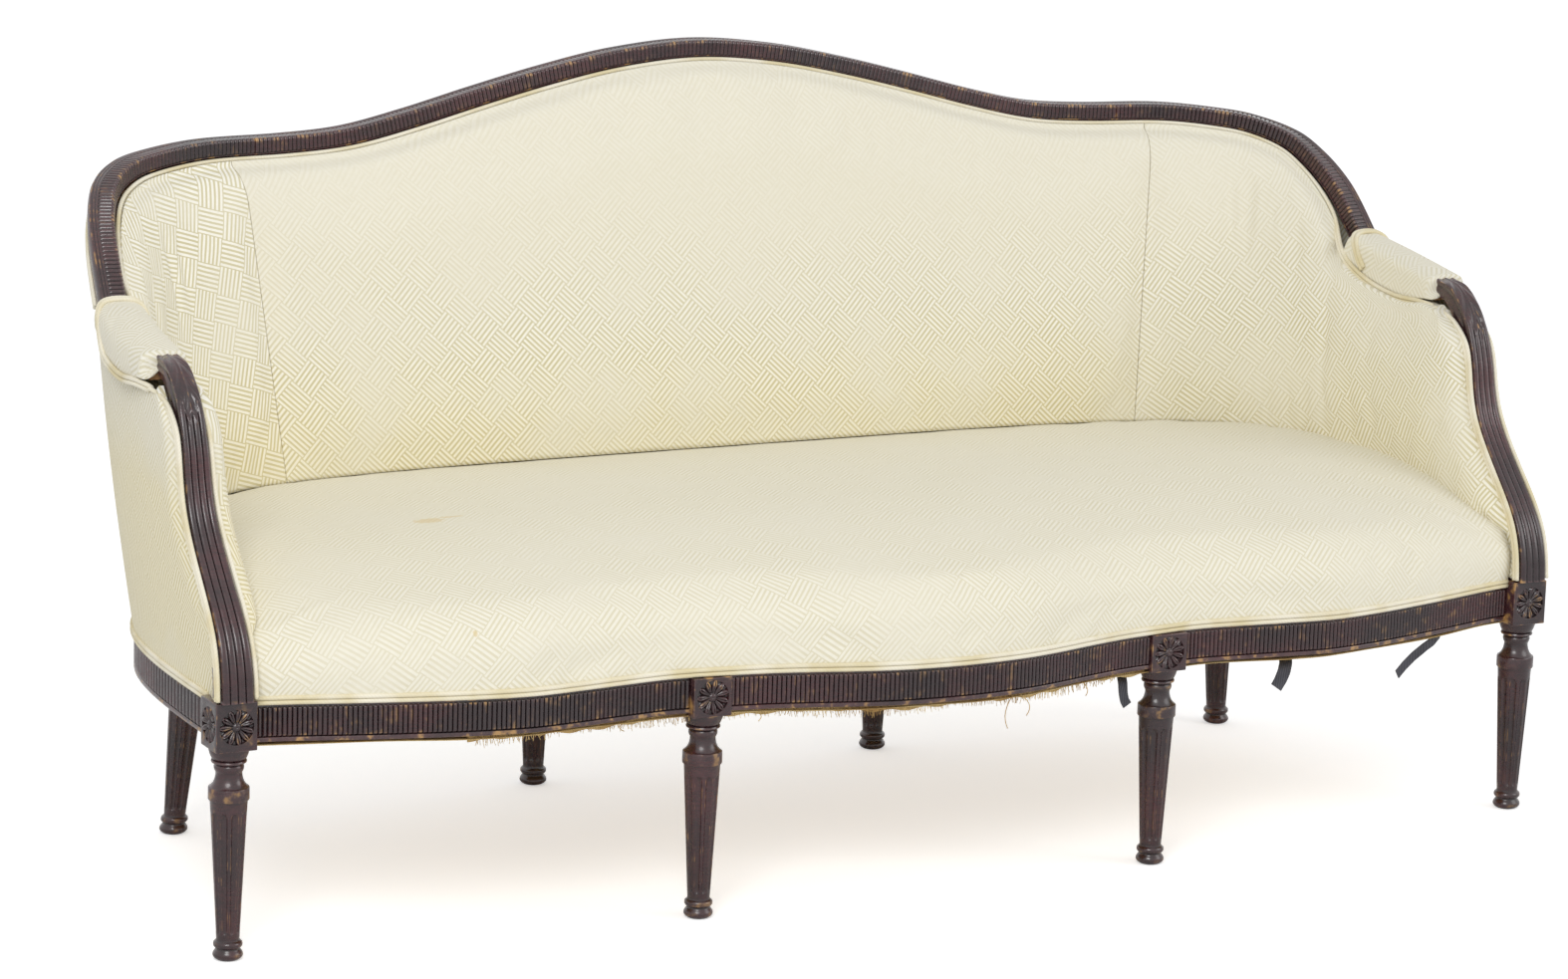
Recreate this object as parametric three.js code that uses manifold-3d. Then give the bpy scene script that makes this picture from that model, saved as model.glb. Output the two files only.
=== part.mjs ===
// Camelback settee with a serpentine front, carved show-wood frame and tight upholstery.
// Millimetres, +Z up, the front faces -Y. Lengths along Y start at the front corner legs' axes, and the
// finished group is moved so that its origin is on the floor, at the middle of its box.
import * as THREE from 'three';
import Module from 'manifold-3d';
import { mergeVertices } from 'three/addons/utils/BufferGeometryUtils.js';

const wasm = await Module();
wasm.setup();

// Fits and sampling
const clearance = 0.3;
const ends = 1;
const outlineSteps = 240;
const frameStep = 0.002;
const settleSteps = 12;
const centreRailStations = 17;
const frontRailStations = 15;
const sideRailStations = 14;
const rearRailStations = 8;
const centreCrestStations = 25;
const sideCrestStations = 17;
const tackStations = 10;
const canvasFrontStations = 29;
const canvasRoundStations = 37;
const seatFrontStations = 27;
const seatRoundStations = 29;
const insideStations = 17;
const outsideStations = 19;
const wingStations = 6;
const wingSteepStations = 9;

// Frame in plan: the outer face is a superellipse that grows, rakes and squares up with height
const cornerLegSpan = 930;
const middleLegSpan = 328;
const middleLegForward = 53;
const sideRailProud = 15;
const sideRailFace = cornerLegSpan + sideRailProud;
const rearRailFace = 612;
const seatOvalStart = -254;
const crestOvalStart = 26;
const seatPower = 5.5;
const crestPower = 6.2;
const sideSplay = 24;
const backRake = 90;

// Heights
const railBottom = 267;
const railTop = 312;
const blockBottom = 262;
const cornerBlockTop = 322;
const crestTop = 999;
const crestEndTop = 734;
const padFrontTop = 702;

// Serpentine front rail
const bowDepth = 132;
const railThickness = 30;
const railFillet = 5;
const ribSink = 2.5;
const bowShares = [
  [0, 1], [0.094, 0.955], [0.155, 0.864], [0.227, 0.72], [0.289, 0.614], [0.36, 0.545], [0.421, 0.508],
  [0.49, 0.548], [0.57, 0.61], [0.636, 0.64], [0.719, 0.56], [0.807, 0.417], [0.885, 0.27], [0.951, 0.136],
  [1, 0.06],
];

// Legs
const blockSize = 52;
const rearBlockSize = 44;
const rearMiddleSpan = 262;
const rearCornerShare = 0.59;
const rearCornerLean = 0.068;
const legRadius = 24.8;
const fluteCount = 10;
const fluteDepth = 2.6;
const fluteLandShare = 0.42;
const fluteBottom = 33;
const fluteTop = 185;
const fluteRun = 6;
const shaftBottomRadius = 14.2;
const shaftTopRadius = 22.7;
const shaftBottom = 29;
const shaftTop = 199;
const footSides = 12;
const turningSides = 14;
const footShares = [[0.55, 0], [0.74, 0.16], [0.74, 0.36], [0.59, 0.5], [0.71, 0.64], [0.71, 0.8], [0.57, 1]];
const neckBottom = 198;
const neckShares = [
  [0.9, 0], [1, 0.04], [1, 0.24], [0.64, 0.52], [0.74, 0.64], [0.67, 0.69], [0.88, 0.76], [0.83, 0.83],
  [0.98, 1],
];

// Rosettes
const rosetteRadius = 22.5;
const rosetteRim = 1.6;
const petalCount = 10;
const petalRise = 3.2;
const petalValley = 1;
const petalTipShare = 0.86;
const petalRootShare = 0.34;
const bossShare = 0.22;
const bossRise = 4.2;

// Arm supports
const supportWidthTop = 28;
const supportWidthBase = 40;
const supportDepthTop = 24;
const supportDepthBase = 36;
const supportReeds = 4;
const reedRise = 2.2;
const supportStations = 15;
const supportTopBack = 214;
const supportRise = 365;
const supportShares = [
  [1, 1], [0.87, 0.985], [0.75, 0.93], [0.663, 0.855], [0.598, 0.747], [0.561, 0.64], [0.505, 0.543],
  [0.402, 0.452], [0.243, 0.344], [0.093, 0.247], [0, 0.169], [-0.047, 0.089], [-0.065, 0],
];

// Crest rail
const crestDepth = 34;
const crestFace = 22;
const crestHeel = 28;
const crestEndShare = 0.736;
const crestScarfShare = 0.44;
const crestShares = [
  [0, 1], [0.08, 0.962], [0.149, 0.887], [0.219, 0.792], [0.287, 0.694], [0.348, 0.623], [0.407, 0.6],
  [0.49, 0.594], [0.55, 0.565], [0.587, 0.536], [0.635, 0.46], [0.664, 0.37], [0.688, 0.275], [0.707, 0.181],
  [0.736, 0],
];
const crestSection = [
  [-1, -1], [-0.97, -0.18], [-0.88, -0.04], [-0.47, 0.1], [-0.09, -0.04], [0, -0.27], [0, -1.27],
  [-0.82, -1.27],
];

// Arm pads and the rails inside them
const padOverhang = 6;
const padWidth = 60;
const padDrop = 50;
const padTopSkin = 18;
const padSideSkin = 11;
const padStations = 8;
const armRailHeight = 16;
const padShoulderShare = 0.125;
const padDropShares = [[0, 0.76], [0.3, 1], [0.7, 0.98], [1, 0.66]];

// Hidden frame
const coverThickness = 3;
const memberDepth = 5.5;
const memberThickness = 26;
const postWidth = 45;
const middlePostFootShare = 0.192;
const middlePostHeadShare = 0.175;
const tackRailBottom = 470;
const tackRailHeight = 45;
const braceWidth = 26;
const braceHeight = 40;
const webWidth = 46;
const webThickness = 1.6;
const webOverlap = 22;
const webAcrossShares = [0.13, 0.46, 0.64, 0.82];
const webBackShares = [0.2, 0.48, 0.76];
const backWebShares = [-0.06, 0.06];
const backWebHeightShares = [0.3, 0.6];
const canvasThickness = 1.4;
const canvasInset = 5;
const blockBraceWidth = 26;
const blockBraceHeight = 30;
const blockBraceFoot = 88;
const blockBraceReach = 0.082;

// Upholstery
const deckCrown = 459;
const deckFront = 402;
const deckSideDrop = 16;
const deckRun = 330;
const seatInset = 41.5;
const rollRadius = 34;
const edgeRadius = 8;
const rollShare = 0.3;
const deckRingShares = [0.75, 0.5, 0.25];
const frontBulge = 4;
const seamShare = 0.47;
const stuffingDepth = 70;
const stuffingEdge = 39;
const stuffingRear = 36;
const tuckRun = 48;
const outsideSeamShare = 0.55;
const outsideBulge = 5;
const restGap = 1;
const edgeGap = 3;
const supportGap = 4;
const padBlendShare = 0.032;
const insideRiseShares = [0, 0.14, 0.28, 0.42, 0.57, 0.75, 0.92, 1];
const outsideRiseShares = [0, 0.04, 0.2, 0.33, 0.46, 0.6, 0.85, 1];

const mahoganyBrown = '#3a1f1c';
const creamCloth = '#e9e3cf';
const showWood = new THREE.MeshStandardMaterial({ color: mahoganyBrown, roughness: 0.38, metalness: 0 });
const frameWood = new THREE.MeshStandardMaterial({ color: '#b98d5a', roughness: 0.7, metalness: 0 });
const cloth = new THREE.MeshStandardMaterial({ color: creamCloth, roughness: 0.9, metalness: 0 });
const canvasCloth = new THREE.MeshStandardMaterial({ color: '#a98c62', roughness: 0.95, metalness: 0 });
const webCloth = new THREE.MeshStandardMaterial({ color: '#4a4038', roughness: 0.95, metalness: 0 });

const settee = new THREE.Group();

// Smooth curve through a table of [place, value] pairs, read at one place
function valueAt(table, place) {
  const last = table.length - 1;
  const held = THREE.MathUtils.clamp(place, table[0][0], table[last][0]);
  let i = 0;
  while (i < last - 1 && held > table[i + 1][0]) i += 1;
  const [x0, y0] = table[i];
  const [x1, y1] = table[i + 1];
  const before = table[Math.max(i - 1, 0)];
  const after = table[Math.min(i + 2, last)];
  const m0 = i === 0 ? 0 : (y1 - before[1]) / (x1 - before[0]);
  const m1 = (after[1] - y0) / (after[0] - x0);
  const t = (held - x0) / (x1 - x0);
  const t2 = t * t;
  const t3 = t2 * t;
  const run = x1 - x0;
  return (2 * t3 - 3 * t2 + 1) * y0 + (t3 - 2 * t2 + t) * run * m0
    + (3 * t2 - 2 * t3) * y1 + (t3 - t2) * run * m1;
}

// A closed body skinned over rings of equal count, its faces turned outwards. A banded ring runs out along
// a face and comes back at the same places behind it.
function skin(rings, banded = false) {
  const count = rings[0].length;
  const positions = rings.flat().flatMap((p) => [p.x, p.y, p.z]);
  const faces = [];
  for (let r = 0; r < rings.length - 1; r += 1) {
    for (let i = 0; i < count; i += 1) {
      const a = r * count + i;
      const b = r * count + ((i + 1) % count);
      faces.push([a, b, b + count], [a, b + count, a + count]);
    }
  }
  const capOf = banded ? bandFaces : capFaces;
  faces.push(...capOf(rings[0], 0).map(([a, b, c]) => [a, c, b]));
  faces.push(...capOf(rings[rings.length - 1], (rings.length - 1) * count));
  return turnedOut(positions, faces);
}

function bandFaces(ring, offset) {
  const faces = [];
  for (let i = 0; i < ring.length / 2 - 1; i += 1) {
    const across = ring.length - 1 - i;
    faces.push([i, i + 1, across - 1], [i, across - 1, across]);
  }
  return faces.map((face) => face.map((i) => i + offset));
}

function capFaces(ring, offset) {
  const normal = new THREE.Vector3();
  ring.forEach((p, i) => normal.add(new THREE.Vector3().crossVectors(p, ring[(i + 1) % ring.length])));
  normal.normalize();
  const across = new THREE.Vector3().subVectors(ring[1], ring[0]);
  across.addScaledVector(normal, -across.dot(normal)).normalize();
  const up = new THREE.Vector3().crossVectors(normal, across);
  const flat = ring.map((p) => new THREE.Vector2(p.dot(across), p.dot(up)));
  return THREE.ShapeUtils.triangulateShape(flat, []).map((face) => face.map((i) => i + offset));
}

function turnedOut(positions, faces) {
  const at = (i) => new THREE.Vector3().fromArray(positions, i * 3);
  let volume = 0;
  for (const [a, b, c] of faces) volume += at(a).dot(at(b).cross(at(c)));
  const kept = volume < 0 ? faces.map(([a, b, c]) => [a, c, b]) : faces;
  const geometry = new THREE.BufferGeometry();
  geometry.setAttribute('position', new THREE.Float32BufferAttribute(positions, 3));
  geometry.setIndex(kept.flat());
  return geometry;
}

function addPiece(name, geometry, material) {
  const faceted = geometry.toNonIndexed();
  faceted.computeVertexNormals();
  const mesh = new THREE.Mesh(faceted, material);
  mesh.name = name;
  settee.add(mesh);
  return mesh;
}

// Solids for joining and cutting
function solidOf(geometry) {
  const bare = geometry.clone();
  bare.deleteAttribute('normal');
  bare.deleteAttribute('uv');
  const merged = mergeVertices(bare);
  return new wasm.Manifold(new wasm.Mesh({
    numProp: 3,
    vertProperties: new Float32Array(merged.attributes.position.array),
    triVerts: new Uint32Array(merged.index.array),
  }));
}

function geometryOf(solid) {
  const mesh = solid.getMesh();
  const geometry = new THREE.BufferGeometry();
  geometry.setAttribute('position', new THREE.BufferAttribute(mesh.vertProperties, 3));
  geometry.setIndex(new THREE.BufferAttribute(mesh.triVerts, 1));
  return geometry;
}

function joined(geometries) {
  return geometryOf(geometries.map(solidOf).reduce((all, one) => all.add(one)));
}

function cutBy(geometry, cutters) {
  return geometryOf(cutters.map(solidOf).reduce((left, one) => left.subtract(one), solidOf(geometry)));
}

function boxBetween(low, high) {
  const box = new THREE.BoxGeometry(high.x - low.x, high.y - low.y, high.z - low.z);
  return box.translate((low.x + high.x) / 2, (low.y + high.y) / 2, (low.z + high.z) / 2);
}

// The frame's outer face at one height. A share runs along it from 0 at the middle of the back to 1 at
// the front legs, minus on the left.
const walks = new Map();
function outlineWalk(z) {
  const key = Math.round(z * outlineSteps);
  if (walks.has(key)) return walks.get(key);
  const rise = (z - railTop) / (crestTop - railTop);
  const halfWidth = sideRailFace + sideSplay * rise;
  const start = THREE.MathUtils.lerp(seatOvalStart, crestOvalStart, rise);
  const reach = rearRailFace + backRake * rise - start;
  const power = THREE.MathUtils.lerp(seatPower, crestPower, rise);
  const lastShare = Math.max((blockSize / 2 - start) / reach, 0);
  const lastAngle = Math.acos(lastShare ** (power / 2));
  const walk = { points: [], lengths: [0] };
  for (let i = 0; i <= outlineSteps; i += 1) {
    const angle = lastAngle * (i / outlineSteps);
    const x = halfWidth * Math.sin(angle) ** (2 / power);
    const y = start + reach * Math.max(Math.cos(angle), 0) ** (2 / power);
    walk.points.push(new THREE.Vector2(x, y));
    if (i > 0) walk.lengths.push(walk.lengths[i - 1] + walk.points[i].distanceTo(walk.points[i - 1]));
  }
  walk.total = walk.lengths[outlineSteps];
  walks.set(key, walk);
  return walk;
}

function wallAt(share, z, depth = 0) {
  const walk = outlineWalk(z);
  const length = Math.abs(share) * walk.total;
  let i = 1;
  while (i < outlineSteps && walk.lengths[i] < length) i += 1;
  const from = walk.points[i - 1];
  const along = new THREE.Vector2().subVectors(walk.points[i], from).normalize();
  const past = length - walk.lengths[i - 1];
  const side = share < 0 ? -1 : 1;
  const normal = new THREE.Vector3(-along.y * side, along.x, 0);
  const point = new THREE.Vector3((from.x + along.x * past) * side, from.y + along.y * past, z);
  return { point: point.addScaledVector(normal, -depth), normal };
}

// The share on the side wall that lies at a given distance back
function shareAtBack(y, z) {
  const walk = outlineWalk(z);
  let i = outlineSteps;
  while (i > 1 && walk.points[i - 1].y < y) i -= 1;
  const from = walk.points[i];
  const run = (y - from.y) / (walk.points[i - 1].y - from.y);
  return (walk.lengths[i] + (walk.lengths[i - 1] - walk.lengths[i]) * run) / walk.total;
}

function frontFace(x) {
  return -bowDepth * valueAt(bowShares, Math.min(Math.abs(x) / (cornerLegSpan - blockSize / 2), 1));
}

const armFrontShare = shareAtBack(supportTopBack + clearance, padFrontTop);

function crestHeight(share) {
  const place = Math.abs(share);
  if (place <= crestEndShare) return crestEndTop + (crestTop - crestEndTop) * valueAt(crestShares, place);
  const run = (place - crestEndShare) / (armFrontShare - crestEndShare);
  return THREE.MathUtils.lerp(crestEndTop, padFrontTop, run);
}

// A frame on the top line: its point, the outward direction in plan, the way along and the way across
function crestFrame(share) {
  const { point, normal } = wallAt(share, crestHeight(share));
  const ahead = wallAt(share + frameStep, crestHeight(share + frameStep)).point;
  const behind = wallAt(share - frameStep, crestHeight(share - frameStep)).point;
  const along = ahead.sub(behind).normalize();
  const across = new THREE.Vector3().crossVectors(along, normal).normalize();
  return { point, normal, along, across };
}

function ringOn({ point, normal, across }, section) {
  return section.map(([u, w]) => point.clone().addScaledVector(normal, u).addScaledVector(across, w));
}

// A line that runs a given drop below the top line, read at a share
function dropPlace(share, drop) {
  const length = outlineWalk(crestHeight(share)).total;
  const fall = (crestHeight(share + frameStep) - crestHeight(share - frameStep)) / (2 * frameStep * length);
  const slope = Math.hypot(1, fall);
  return { share: share + (fall * drop) / (slope * length), z: crestHeight(share) - drop / slope };
}

function heightUnder(share, drop) {
  let above = share;
  for (let i = 0; i < settleSteps; i += 1) above += share - dropPlace(above, drop).share;
  return dropPlace(above, drop).z;
}

function sharesBetween(from, to, count) {
  return Array.from({ length: count }, (_, i) => THREE.MathUtils.lerp(from, to, i / (count - 1)));
}

// Legs
function turning(shares, bottom, height, sides) {
  const profile = shares.map(([r, z]) => new THREE.Vector2(r * legRadius, bottom + z * height));
  const axis = [new THREE.Vector2(0, bottom), ...profile, new THREE.Vector2(0, bottom + height)];
  return new THREE.LatheGeometry(axis, sides).rotateX(Math.PI / 2);
}

function flutedRing(z, depth) {
  const share = (z - shaftBottom) / (shaftTop - shaftBottom);
  const radius = THREE.MathUtils.lerp(shaftBottomRadius, shaftTopRadius, share);
  const ring = [];
  for (let i = 0; i < fluteCount; i += 1) {
    const start = (i / fluteCount) * Math.PI * 2;
    const step = (Math.PI * 2) / fluteCount;
    const groove = radius - depth * (radius / shaftTopRadius);
    ring.push(polar(radius, start, z));
    ring.push(polar(radius, start + step * fluteLandShare, z));
    ring.push(polar(groove, start + step * (fluteLandShare + 1) / 2, z));
  }
  return ring;
}

function polar(radius, angle, z) {
  return new THREE.Vector3(radius * Math.cos(angle), radius * Math.sin(angle), z);
}

function flutedShaft() {
  return skin([
    flutedRing(shaftBottom - ends, 0), flutedRing(fluteBottom, 0),
    flutedRing(fluteBottom + fluteRun, fluteDepth),
    flutedRing(fluteTop - fluteRun, fluteDepth), flutedRing(fluteTop, 0), flutedRing(shaftTop, 0),
  ]);
}

function legBlock(size, top) {
  const half = size / 2;
  return boxBetween(new THREE.Vector3(-half, -half, blockBottom), new THREE.Vector3(half, half, top));
}

function legGeometry(size, top, turn = 0) {
  const foot = turning(footShares, 0, shaftBottom, footSides);
  const neck = turning(neckShares, neckBottom, blockBottom + ends - neckBottom, turningSides);
  return joined([foot, flutedShaft(), neck, legBlock(size, top).rotateZ(turn)]);
}

function leaned(geometry, lean) {
  const shear = new THREE.Matrix4().set(1, 0, -lean.x, 0, 0, 1, -lean.y, 0, 0, 0, 1, 0, 0, 0, 0, 1);
  const below = geometry.attributes.position;
  const point = new THREE.Vector3();
  for (let i = 0; i < below.count; i += 1) {
    point.fromBufferAttribute(below, i);
    if (point.z >= blockBottom) continue;
    point.z -= blockBottom;
    point.applyMatrix4(shear);
    below.setXYZ(i, point.x, point.y, point.z + blockBottom);
  }
  return geometry;
}

function addFrontLegs() {
  for (const [side, sign] of [['left', -1], ['right', 1]]) {
    addPiece(`front_leg_${side}`, legGeometry(blockSize, cornerBlockTop), showWood)
      .position.set(sign * cornerLegSpan, 0, 0);
    addPiece(`front_leg_middle_${side}`, legGeometry(blockSize, railTop), showWood)
      .position.set(sign * middleLegSpan, -middleLegForward, 0);
  }
}

function rearBlockAt(share) {
  return wallAt(share, railTop, rearBlockSize / 2);
}

function addRearLegs() {
  for (const [side, sign] of [['left', -1], ['right', 1]]) {
    const corner = rearBlockAt(sign * rearCornerShare);
    const turn = Math.atan2(corner.normal.y, corner.normal.x);
    const lean = new THREE.Vector2(sign * rearCornerLean, rearCornerLean);
    const leg = leaned(legGeometry(rearBlockSize, railTop, turn), lean);
    addPiece(`rear_leg_${side}`, leg, showWood).position.set(corner.point.x, corner.point.y, 0);
    addPiece(`rear_leg_middle_${side}`, legGeometry(rearBlockSize, railTop), showWood)
      .position.set(sign * rearMiddleSpan, rearRailFace - rearBlockSize / 2, 0);
  }
}

// Rosettes
function rosetteGeometry() {
  const circle = (radius, high, low) => Array.from({ length: petalCount * 2 }, (_, i) => (
    polar(radius, (i * Math.PI) / petalCount, i % 2 ? low : high)));
  return skin([
    circle(rosetteRadius, 0, 0), circle(rosetteRadius, rosetteRim, rosetteRim),
    circle(rosetteRadius * petalTipShare, petalRise, petalValley),
    circle(rosetteRadius * petalRootShare, rosetteRim, petalValley),
    circle(rosetteRadius * bossShare, bossRise, bossRise),
  ]);
}

function addRosettes() {
  const low = (blockBottom + cornerBlockTop) / 2;
  const middle = (blockBottom + railTop) / 2;
  const face = blockSize / 2 + clearance;
  for (const [side, sign] of [['left', -1], ['right', 1]]) {
    const front = rosetteGeometry().rotateX(Math.PI / 2);
    addPiece(`rosette_front_${side}`, front, showWood).position.set(sign * cornerLegSpan, -face, low);
    addPiece(`rosette_middle_${side}`, front, showWood)
      .position.set(sign * middleLegSpan, -middleLegForward - face, middle);
    addPiece(`rosette_side_${side}`, rosetteGeometry().rotateY((sign * Math.PI) / 2), showWood)
      .position.set(sign * (cornerLegSpan + face), 0, low);
  }
}

// Seat rails: a carved face with a sunk band for the ribs above a plain fillet
function railSection(face) {
  return [
    [face, railBottom], [face, railBottom + railFillet], [face + ribSink, railBottom + railFillet + ribSink],
    [face + ribSink, railTop], [face + railThickness, railTop], [face + railThickness, railBottom],
  ];
}

function frontRail(from, to, count) {
  return skin(sharesBetween(from, to, count).map((x) => (
    railSection(frontFace(x)).map(([y, z]) => new THREE.Vector3(x, y, z)))));
}

function addFrontRails() {
  const inner = middleLegSpan - blockSize / 2 - clearance;
  const outer = middleLegSpan + blockSize / 2 + clearance;
  const end = cornerLegSpan - blockSize / 2 - clearance;
  addPiece('front_rail_centre', frontRail(-inner, inner, centreRailStations), showWood);
  addPiece('front_rail_left', frontRail(-end, -outer, frontRailStations), showWood);
  addPiece('front_rail_right', frontRail(outer, end, frontRailStations), showWood);
}

function wallRing(share, section) {
  return section.map(([depth, z]) => {
    const { point } = wallAt(share, railTop, depth);
    return point.setZ(z);
  });
}

// A ring square to a turned leg block, one clearance off its side
function blockRing(share, toward, section) {
  const { point, normal } = rearBlockAt(share);
  const along = new THREE.Vector3(normal.y, -normal.x, 0);
  const off = (rearBlockSize / 2 + clearance) * toward;
  return section.map(([depth, z]) => point.clone().addScaledVector(along, off)
    .addScaledVector(normal, rearBlockSize / 2 - depth).setZ(z));
}

const plainSection = [[0, railBottom], [0, railTop], [railThickness, railTop], [railThickness, railBottom]];

function addSideAndRearRails() {
  const step = (rearBlockSize / 2 + railThickness / 2) / outlineWalk(railTop).total;
  const frontEnd = shareAtBack(blockSize / 2 + clearance, railTop);
  const middleEnd = (rearMiddleSpan - rearBlockSize / 2 - clearance) / outlineWalk(railTop).total;
  const middleStart = (rearMiddleSpan + rearBlockSize / 2 + clearance) / outlineWalk(railTop).total;
  for (const [side, sign] of [['left', -1], ['right', 1]]) {
    const shares = sharesBetween(rearCornerShare + step, frontEnd, sideRailStations);
    const carved = [blockRing(sign * rearCornerShare, sign, railSection(0))];
    shares.forEach((share) => carved.push(wallRing(sign * share, railSection(0))));
    addPiece(`side_rail_${side}`, skin(carved), showWood);
    const rear = sharesBetween(middleStart, rearCornerShare - step, rearRailStations)
      .map((share) => wallRing(sign * share, plainSection));
    rear.push(blockRing(sign * rearCornerShare, -sign, plainSection));
    addPiece(`rear_rail_${side}`, skin(rear), frameWood);
  }
  const centre = sharesBetween(-middleEnd, middleEnd, 2).map((share) => wallRing(share, plainSection));
  addPiece('rear_rail_centre', skin(centre), frameWood);
}

// Arm supports
function supportAt(share) {
  const points = supportShares.map(([y, z]) => (
    new THREE.Vector3(0, y * supportTopBack, cornerBlockTop + clearance + z * supportRise)));
  const curve = new THREE.CatmullRomCurve3(points);
  const point = curve.getPoint(share);
  const along = curve.getTangent(share);
  if (share === 1) along.set(0, 0, -1);
  if (share === 0) along.set(0, -1, 0);
  const forward = new THREE.Vector3(0, along.z, -along.y);
  return { point, forward };
}

function supportDepth(share) {
  return THREE.MathUtils.lerp(supportDepthTop, supportDepthBase, Math.min(share * 2, 1));
}

// Back edge of an arm support: how far back it stands at a height
function supportBack(z) {
  let best = supportTopBack;
  let lowest = Infinity;
  for (const share of sharesBetween(0, 1, outlineSteps)) {
    const { point, forward } = supportAt(share);
    point.addScaledVector(forward, -supportDepth(share) / 2);
    if (Math.abs(point.z - z) > lowest) continue;
    lowest = Math.abs(point.z - z);
    best = point.y;
  }
  return best;
}

const supportBacks = new Map();
function frontShare(z) {
  const key = Math.round(z);
  if (!supportBacks.has(key)) supportBacks.set(key, supportBack(key));
  const least = z < cornerBlockTop + supportGap * 2 ? blockSize / 2 + restGap : 0;
  return shareAtBack(Math.max(supportBacks.get(key) + supportGap, least), z);
}

function supportSection(width, depth) {
  const half = width / 2;
  const pitch = width / supportReeds;
  const front = [];
  for (let i = 0; i < supportReeds; i += 1) {
    const left = -half + i * pitch;
    front.push([left, depth / 2 - reedRise], [left + pitch / 4, depth / 2]);
    front.push([left + (pitch * 3) / 4, depth / 2]);
  }
  return [...front, [half, depth / 2 - reedRise], [half, -depth / 2], [-half, -depth / 2]];
}

function supportGeometry() {
  return skin(sharesBetween(0, 1, supportStations).map((share) => {
    const { point, forward } = supportAt(share);
    const width = THREE.MathUtils.lerp(supportWidthTop, supportWidthBase, share);
    const depth = supportDepth(share);
    return supportSection(width, depth).map(([x, f]) => (
      point.clone().addScaledVector(forward, f).add(new THREE.Vector3(x, 0, 0))));
  }));
}

function addArmSupports() {
  for (const [side, sign] of [['left', -1], ['right', 1]]) {
    addPiece(`arm_support_${side}`, supportGeometry(), showWood).position.set(sign * cornerLegSpan, 0, 0);
  }
}

// Crest rail
function crestPiece(from, to, count) {
  const section = crestSection.map(([u, w]) => [u * crestDepth, w * crestFace]);
  return skin(sharesBetween(from, to, count).map((share) => ringOn(crestFrame(share), section)));
}

function addCrestRail() {
  const gap = clearance / outlineWalk(crestTop).total;
  const scarf = crestScarfShare + gap;
  const centre = crestPiece(-crestScarfShare, crestScarfShare, centreCrestStations);
  addPiece('crest_rail_centre', centre, showWood);
  addPiece('crest_rail_left', crestPiece(-crestEndShare, -scarf, sideCrestStations), showWood);
  addPiece('crest_rail_right', crestPiece(scarf, crestEndShare, sideCrestStations), showWood);
}

// Arm pads, and the arm rails that they wrap
function padDropAt(share) {
  const run = (Math.abs(share) - crestEndShare) / (armFrontShare - crestEndShare);
  return padDrop * valueAt(padDropShares, run);
}

function padSection(drop) {
  const outer = padOverhang;
  const inner = padOverhang - padWidth;
  const shoulder = padWidth * padShoulderShare;
  const round = padTopSkin / 3;
  return [
    [inner, -drop], [inner, -padTopSkin], [inner + shoulder, -round], [inner + shoulder * 3, 0],
    [outer - shoulder * 3, 0], [outer - shoulder, -round], [outer, -padTopSkin], [outer, -drop],
    [outer - padSideSkin, -drop], [outer - padSideSkin, -padTopSkin], [inner + padSideSkin, -padTopSkin],
    [inner + padSideSkin, -drop],
  ];
}

function armRailSection() {
  const outer = padOverhang - padSideSkin - clearance;
  const inner = padOverhang - padWidth + padSideSkin + clearance;
  const top = -padTopSkin - clearance;
  return [[inner, top], [outer, top], [outer, top - armRailHeight], [inner, top - armRailHeight]];
}

function alongArm(sign, sectionAt) {
  const joint = crestFrame(sign * crestEndShare);
  joint.point.addScaledVector(joint.along, sign * clearance);
  const rings = [ringOn(joint, sectionAt(crestEndShare))];
  for (const share of sharesBetween(crestEndShare, armFrontShare, padStations).slice(1)) {
    rings.push(ringOn(crestFrame(sign * share), sectionAt(share)));
  }
  const front = rings[rings.length - 1];
  front.forEach((point) => point.setY(supportTopBack + clearance));
  return skin(rings);
}

function addArms() {
  for (const [side, sign] of [['left', -1], ['right', 1]]) {
    addPiece(`arm_pad_${side}`, alongArm(sign, (share) => padSection(padDropAt(share))), cloth);
    addPiece(`arm_rail_${side}`, alongArm(sign, armRailSection), frameWood);
  }
}

// Posts from the rear legs to the crest rail
function postShare(foot, head, z) {
  return THREE.MathUtils.lerp(foot, head, (z - railTop) / (crestTop - railTop));
}

const memberFront = memberDepth + memberThickness;

function postRing(share, z, topped) {
  const half = postWidth / 2 / outlineWalk(z).total;
  const corners = [[-half, memberFront], [half, memberFront], [half, memberDepth], [-half, memberDepth]];
  return corners.map(([aside, depth]) => {
    const height = topped ? heightUnder(share + aside, crestHeel + restGap) : z;
    return wallAt(share + aside, height, depth).point;
  });
}

function postGeometry(foot, head) {
  const bottom = railTop + clearance;
  const top = heightUnder(head, crestHeel + postWidth);
  const levels = sharesBetween(bottom, top, 4);
  const rings = levels.map((z) => postRing(postShare(foot, head, z), z, false));
  rings.push(postRing(postShare(foot, head, heightUnder(head, crestHeel)), top, true));
  return skin(rings);
}

function addPosts() {
  for (const [side, sign] of [['left', -1], ['right', 1]]) {
    const corner = postGeometry(sign * rearCornerShare, sign * rearCornerShare);
    addPiece(`back_post_${side}`, corner, frameWood);
    const middle = postGeometry(sign * middlePostFootShare, sign * middlePostHeadShare);
    addPiece(`back_post_middle_${side}`, middle, frameWood);
  }
}

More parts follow.
